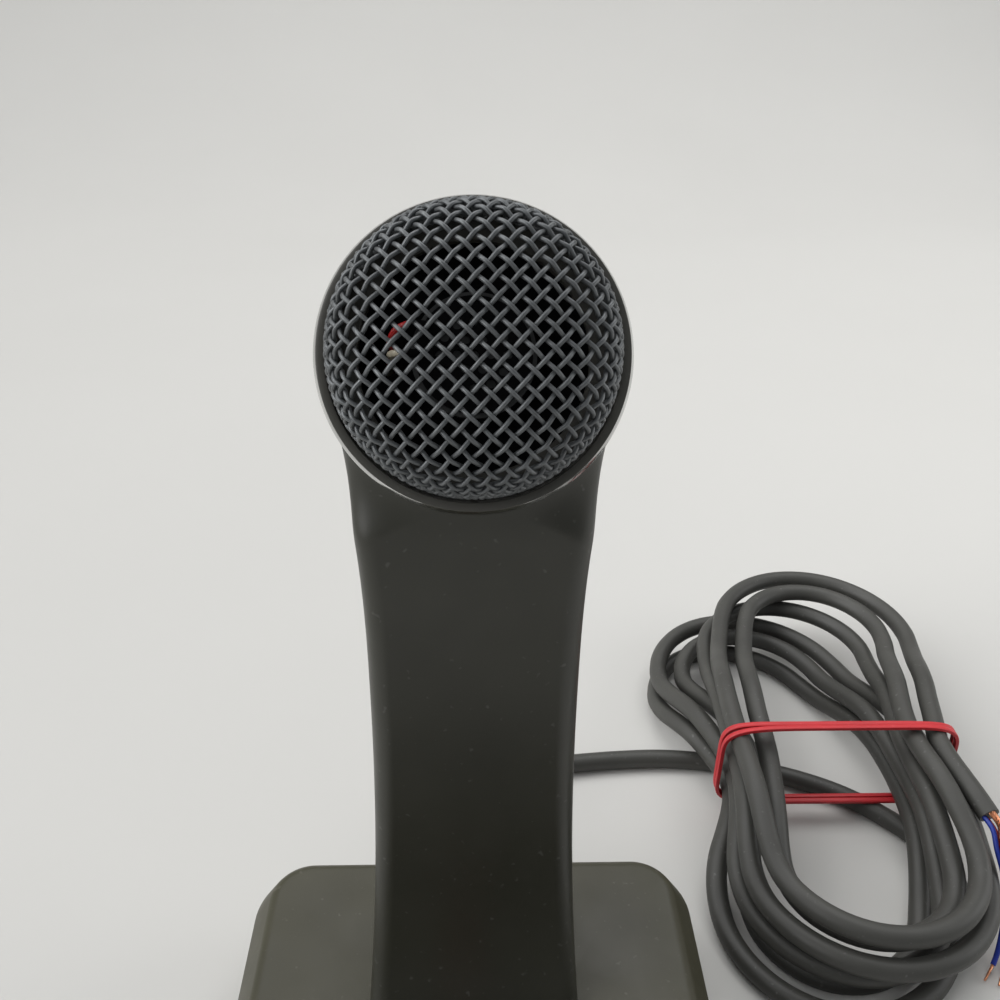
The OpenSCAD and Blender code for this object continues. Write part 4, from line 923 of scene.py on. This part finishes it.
def make_bar_springs():
    """The bar's two coils, wound to fill the boxes of the springs they stand for."""
    turns, r, wire, per_turn = 5, 3.4, 0.4, 24
    for side in ("left", "right"):
        lo, hi = box_mm("talk_spring_" + side)
        x, y = (lo[:2] + hi[:2]) / 2
        low, high, dead = lo[2] + wire, hi[2] - wire, wire * 2.2
        t = np.linspace(0, turns + 2, per_turn * (turns + 2) + 1)
        z = low + dead * (np.minimum(t, 1) + np.maximum(t - turns - 1, 0))
        z += (high - low - 2 * dead) * np.clip((t - 1) / turns, 0, 1)
        path = np.stack([x + r * np.cos(2 * math.pi * t), y + r * np.sin(2 * math.pi * t), z], 1)
        v, f = sweep(path, disc(wire, 8), first=(0, 0, 1))
        coil = piece("bar_spring_" + side, v, f, "steel", angle=60, stands_for=("talk_spring_" + side,))
        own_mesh(coil)


make_bar_springs()


# ---------------------------------------------------------------- CAD nodes that stay

KEPT = {
    "base_plate": "steel", "rubber_feet": "foot", "bottom_screws": "steel", "column_foot": "black",
    "column_screws": "steel", "rear_screws": "steel", "capsule_holder": "felt", "shock_ring": "felt",
    "mic_capsule": "capsule", "capsule_screen": "felt", "talk_bar": "bar", "hinge_pin": "steel",
    "switch_board": "board", "board_spacers": "nylon", "board_screws": "steel", "talk_switch": "black",
    "switch_plunger": "plunger", "terminal_strip": "terminal", "lock_switch": "black",
    "lock_switch_screws": "steel", "lock_knob": "lock", "cable_tail": "cable", "cable_clamp": "black",
    "clamp_screws": "steel", "inner_core_red": "red", "inner_core_blue": "blue", "inner_core_white": "white",
}
EASED = {"talk_bar": 0.35, "lock_knob": 0.3, "column_foot": 0.5, "cable_clamp": 0.5, "terminal_strip": 0.25,
         "talk_switch": 0.25, "lock_switch": 0.3, "rubber_feet": 0.3}


def ease_edges(obj, width):
    weld = obj.modifiers.new("weld", "WELD")
    weld.merge_threshold = 2e-6
    bevel = obj.modifiers.new("ease", "BEVEL")
    bevel.width = width * MM
    bevel.segments = 3
    bevel.limit_method = "ANGLE"
    bevel.angle_limit = math.radians(40)
    bevel.harden_normals = True


for name, mat in KEPT.items():
    paint(NODES[name], mat)
    if name in EASED:
        ease_edges(NODES[name], EASED[name])


# ---------------------------------------------------------------- stage and light, in metres

STAGE_HALF_W, STAGE_FRONT, BEND_Y, BEND_R, STAGE_H = 12.0, -12.0, 0.8, 0.9, 3.0
TABLE_LOW, TABLE_HIGH = (0.610, 0.603, 0.582), (0.630, 0.623, 0.602)


def make_stage():
    """Table that bends up into a backdrop."""
    prof = [(STAGE_FRONT, 0.0), (BEND_Y, 0.0)]
    prof += [(BEND_Y + BEND_R * math.sin(a), BEND_R - BEND_R * math.cos(a))
             for a in np.linspace(0, math.pi / 2, 24)[1:]]
    prof += [(BEND_Y + BEND_R, STAGE_H)]
    verts = [(x, y, z) for y, z in prof for x in (-STAGE_HALF_W, STAGE_HALF_W)]
    faces = [(2 * i, 2 * i + 1, 2 * i + 3, 2 * i + 2) for i in range(len(prof) - 1)]
    mesh = bpy.data.meshes.new("sweep")
    mesh.from_pydata(verts, [], faces)
    mesh.shade_smooth()
    mat, tree, shader, coord = nodes_of("pale_table")
    cloud = ramp(tree, noise(tree, coord, TABLE_SCALE, 3), 0.3, 0.7, 0, 1)
    tree.links.new(mixed(tree, cloud, TABLE_LOW, TABLE_HIGH), shader.inputs["Base Color"])
    shader.inputs["Roughness"].default_value = 0.9
    shader.inputs["Specular IOR Level"].default_value = 0.0
    mesh.materials.append(mat)
    linked("sweep", mesh)


def aim(obj, direction):
    obj.rotation_euler = direction.to_track_quat("-Z", "Y").to_euler()


def lamp(name, place, target, size, power):
    data = bpy.data.lights.new(name, "AREA")
    data.shape = "RECTANGLE"
    data.size, data.size_y = size
    data.energy = power
    obj = linked(name, data)
    obj.location = place
    aim(obj, Vector(target) - Vector(place))


def make_light():
    """Soft light from above and from a window on the left, with a weak fill from the right."""
    world = bpy.data.worlds.new("studio")
    bpy.context.scene.world = world
    world.use_nodes = True
    back = world.node_tree.nodes["Background"]
    back.inputs["Color"].default_value = (0.93, 0.97, 1.0, 1)
    back.inputs["Strength"].default_value = 0.20
    lamp("top", place=(0.1, 0.62, 1.35), target=(0.03, 0.1, 0.05), size=(1.6, 1.2), power=12.8)
    window = bpy.data.lights.new("window", "SUN")
    window.energy = 4.2
    window.angle = math.radians(80)
    aim(linked("window", window), Vector((1.7, -0.05, -0.65)))
    lamp("right", place=(1.1, 0.1, 0.45), target=(0, 0.05, 0.12), size=(0.7, 0.7), power=3.5)
    bpy.context.scene.view_settings.view_transform = "Standard"


make_stage()
make_light()
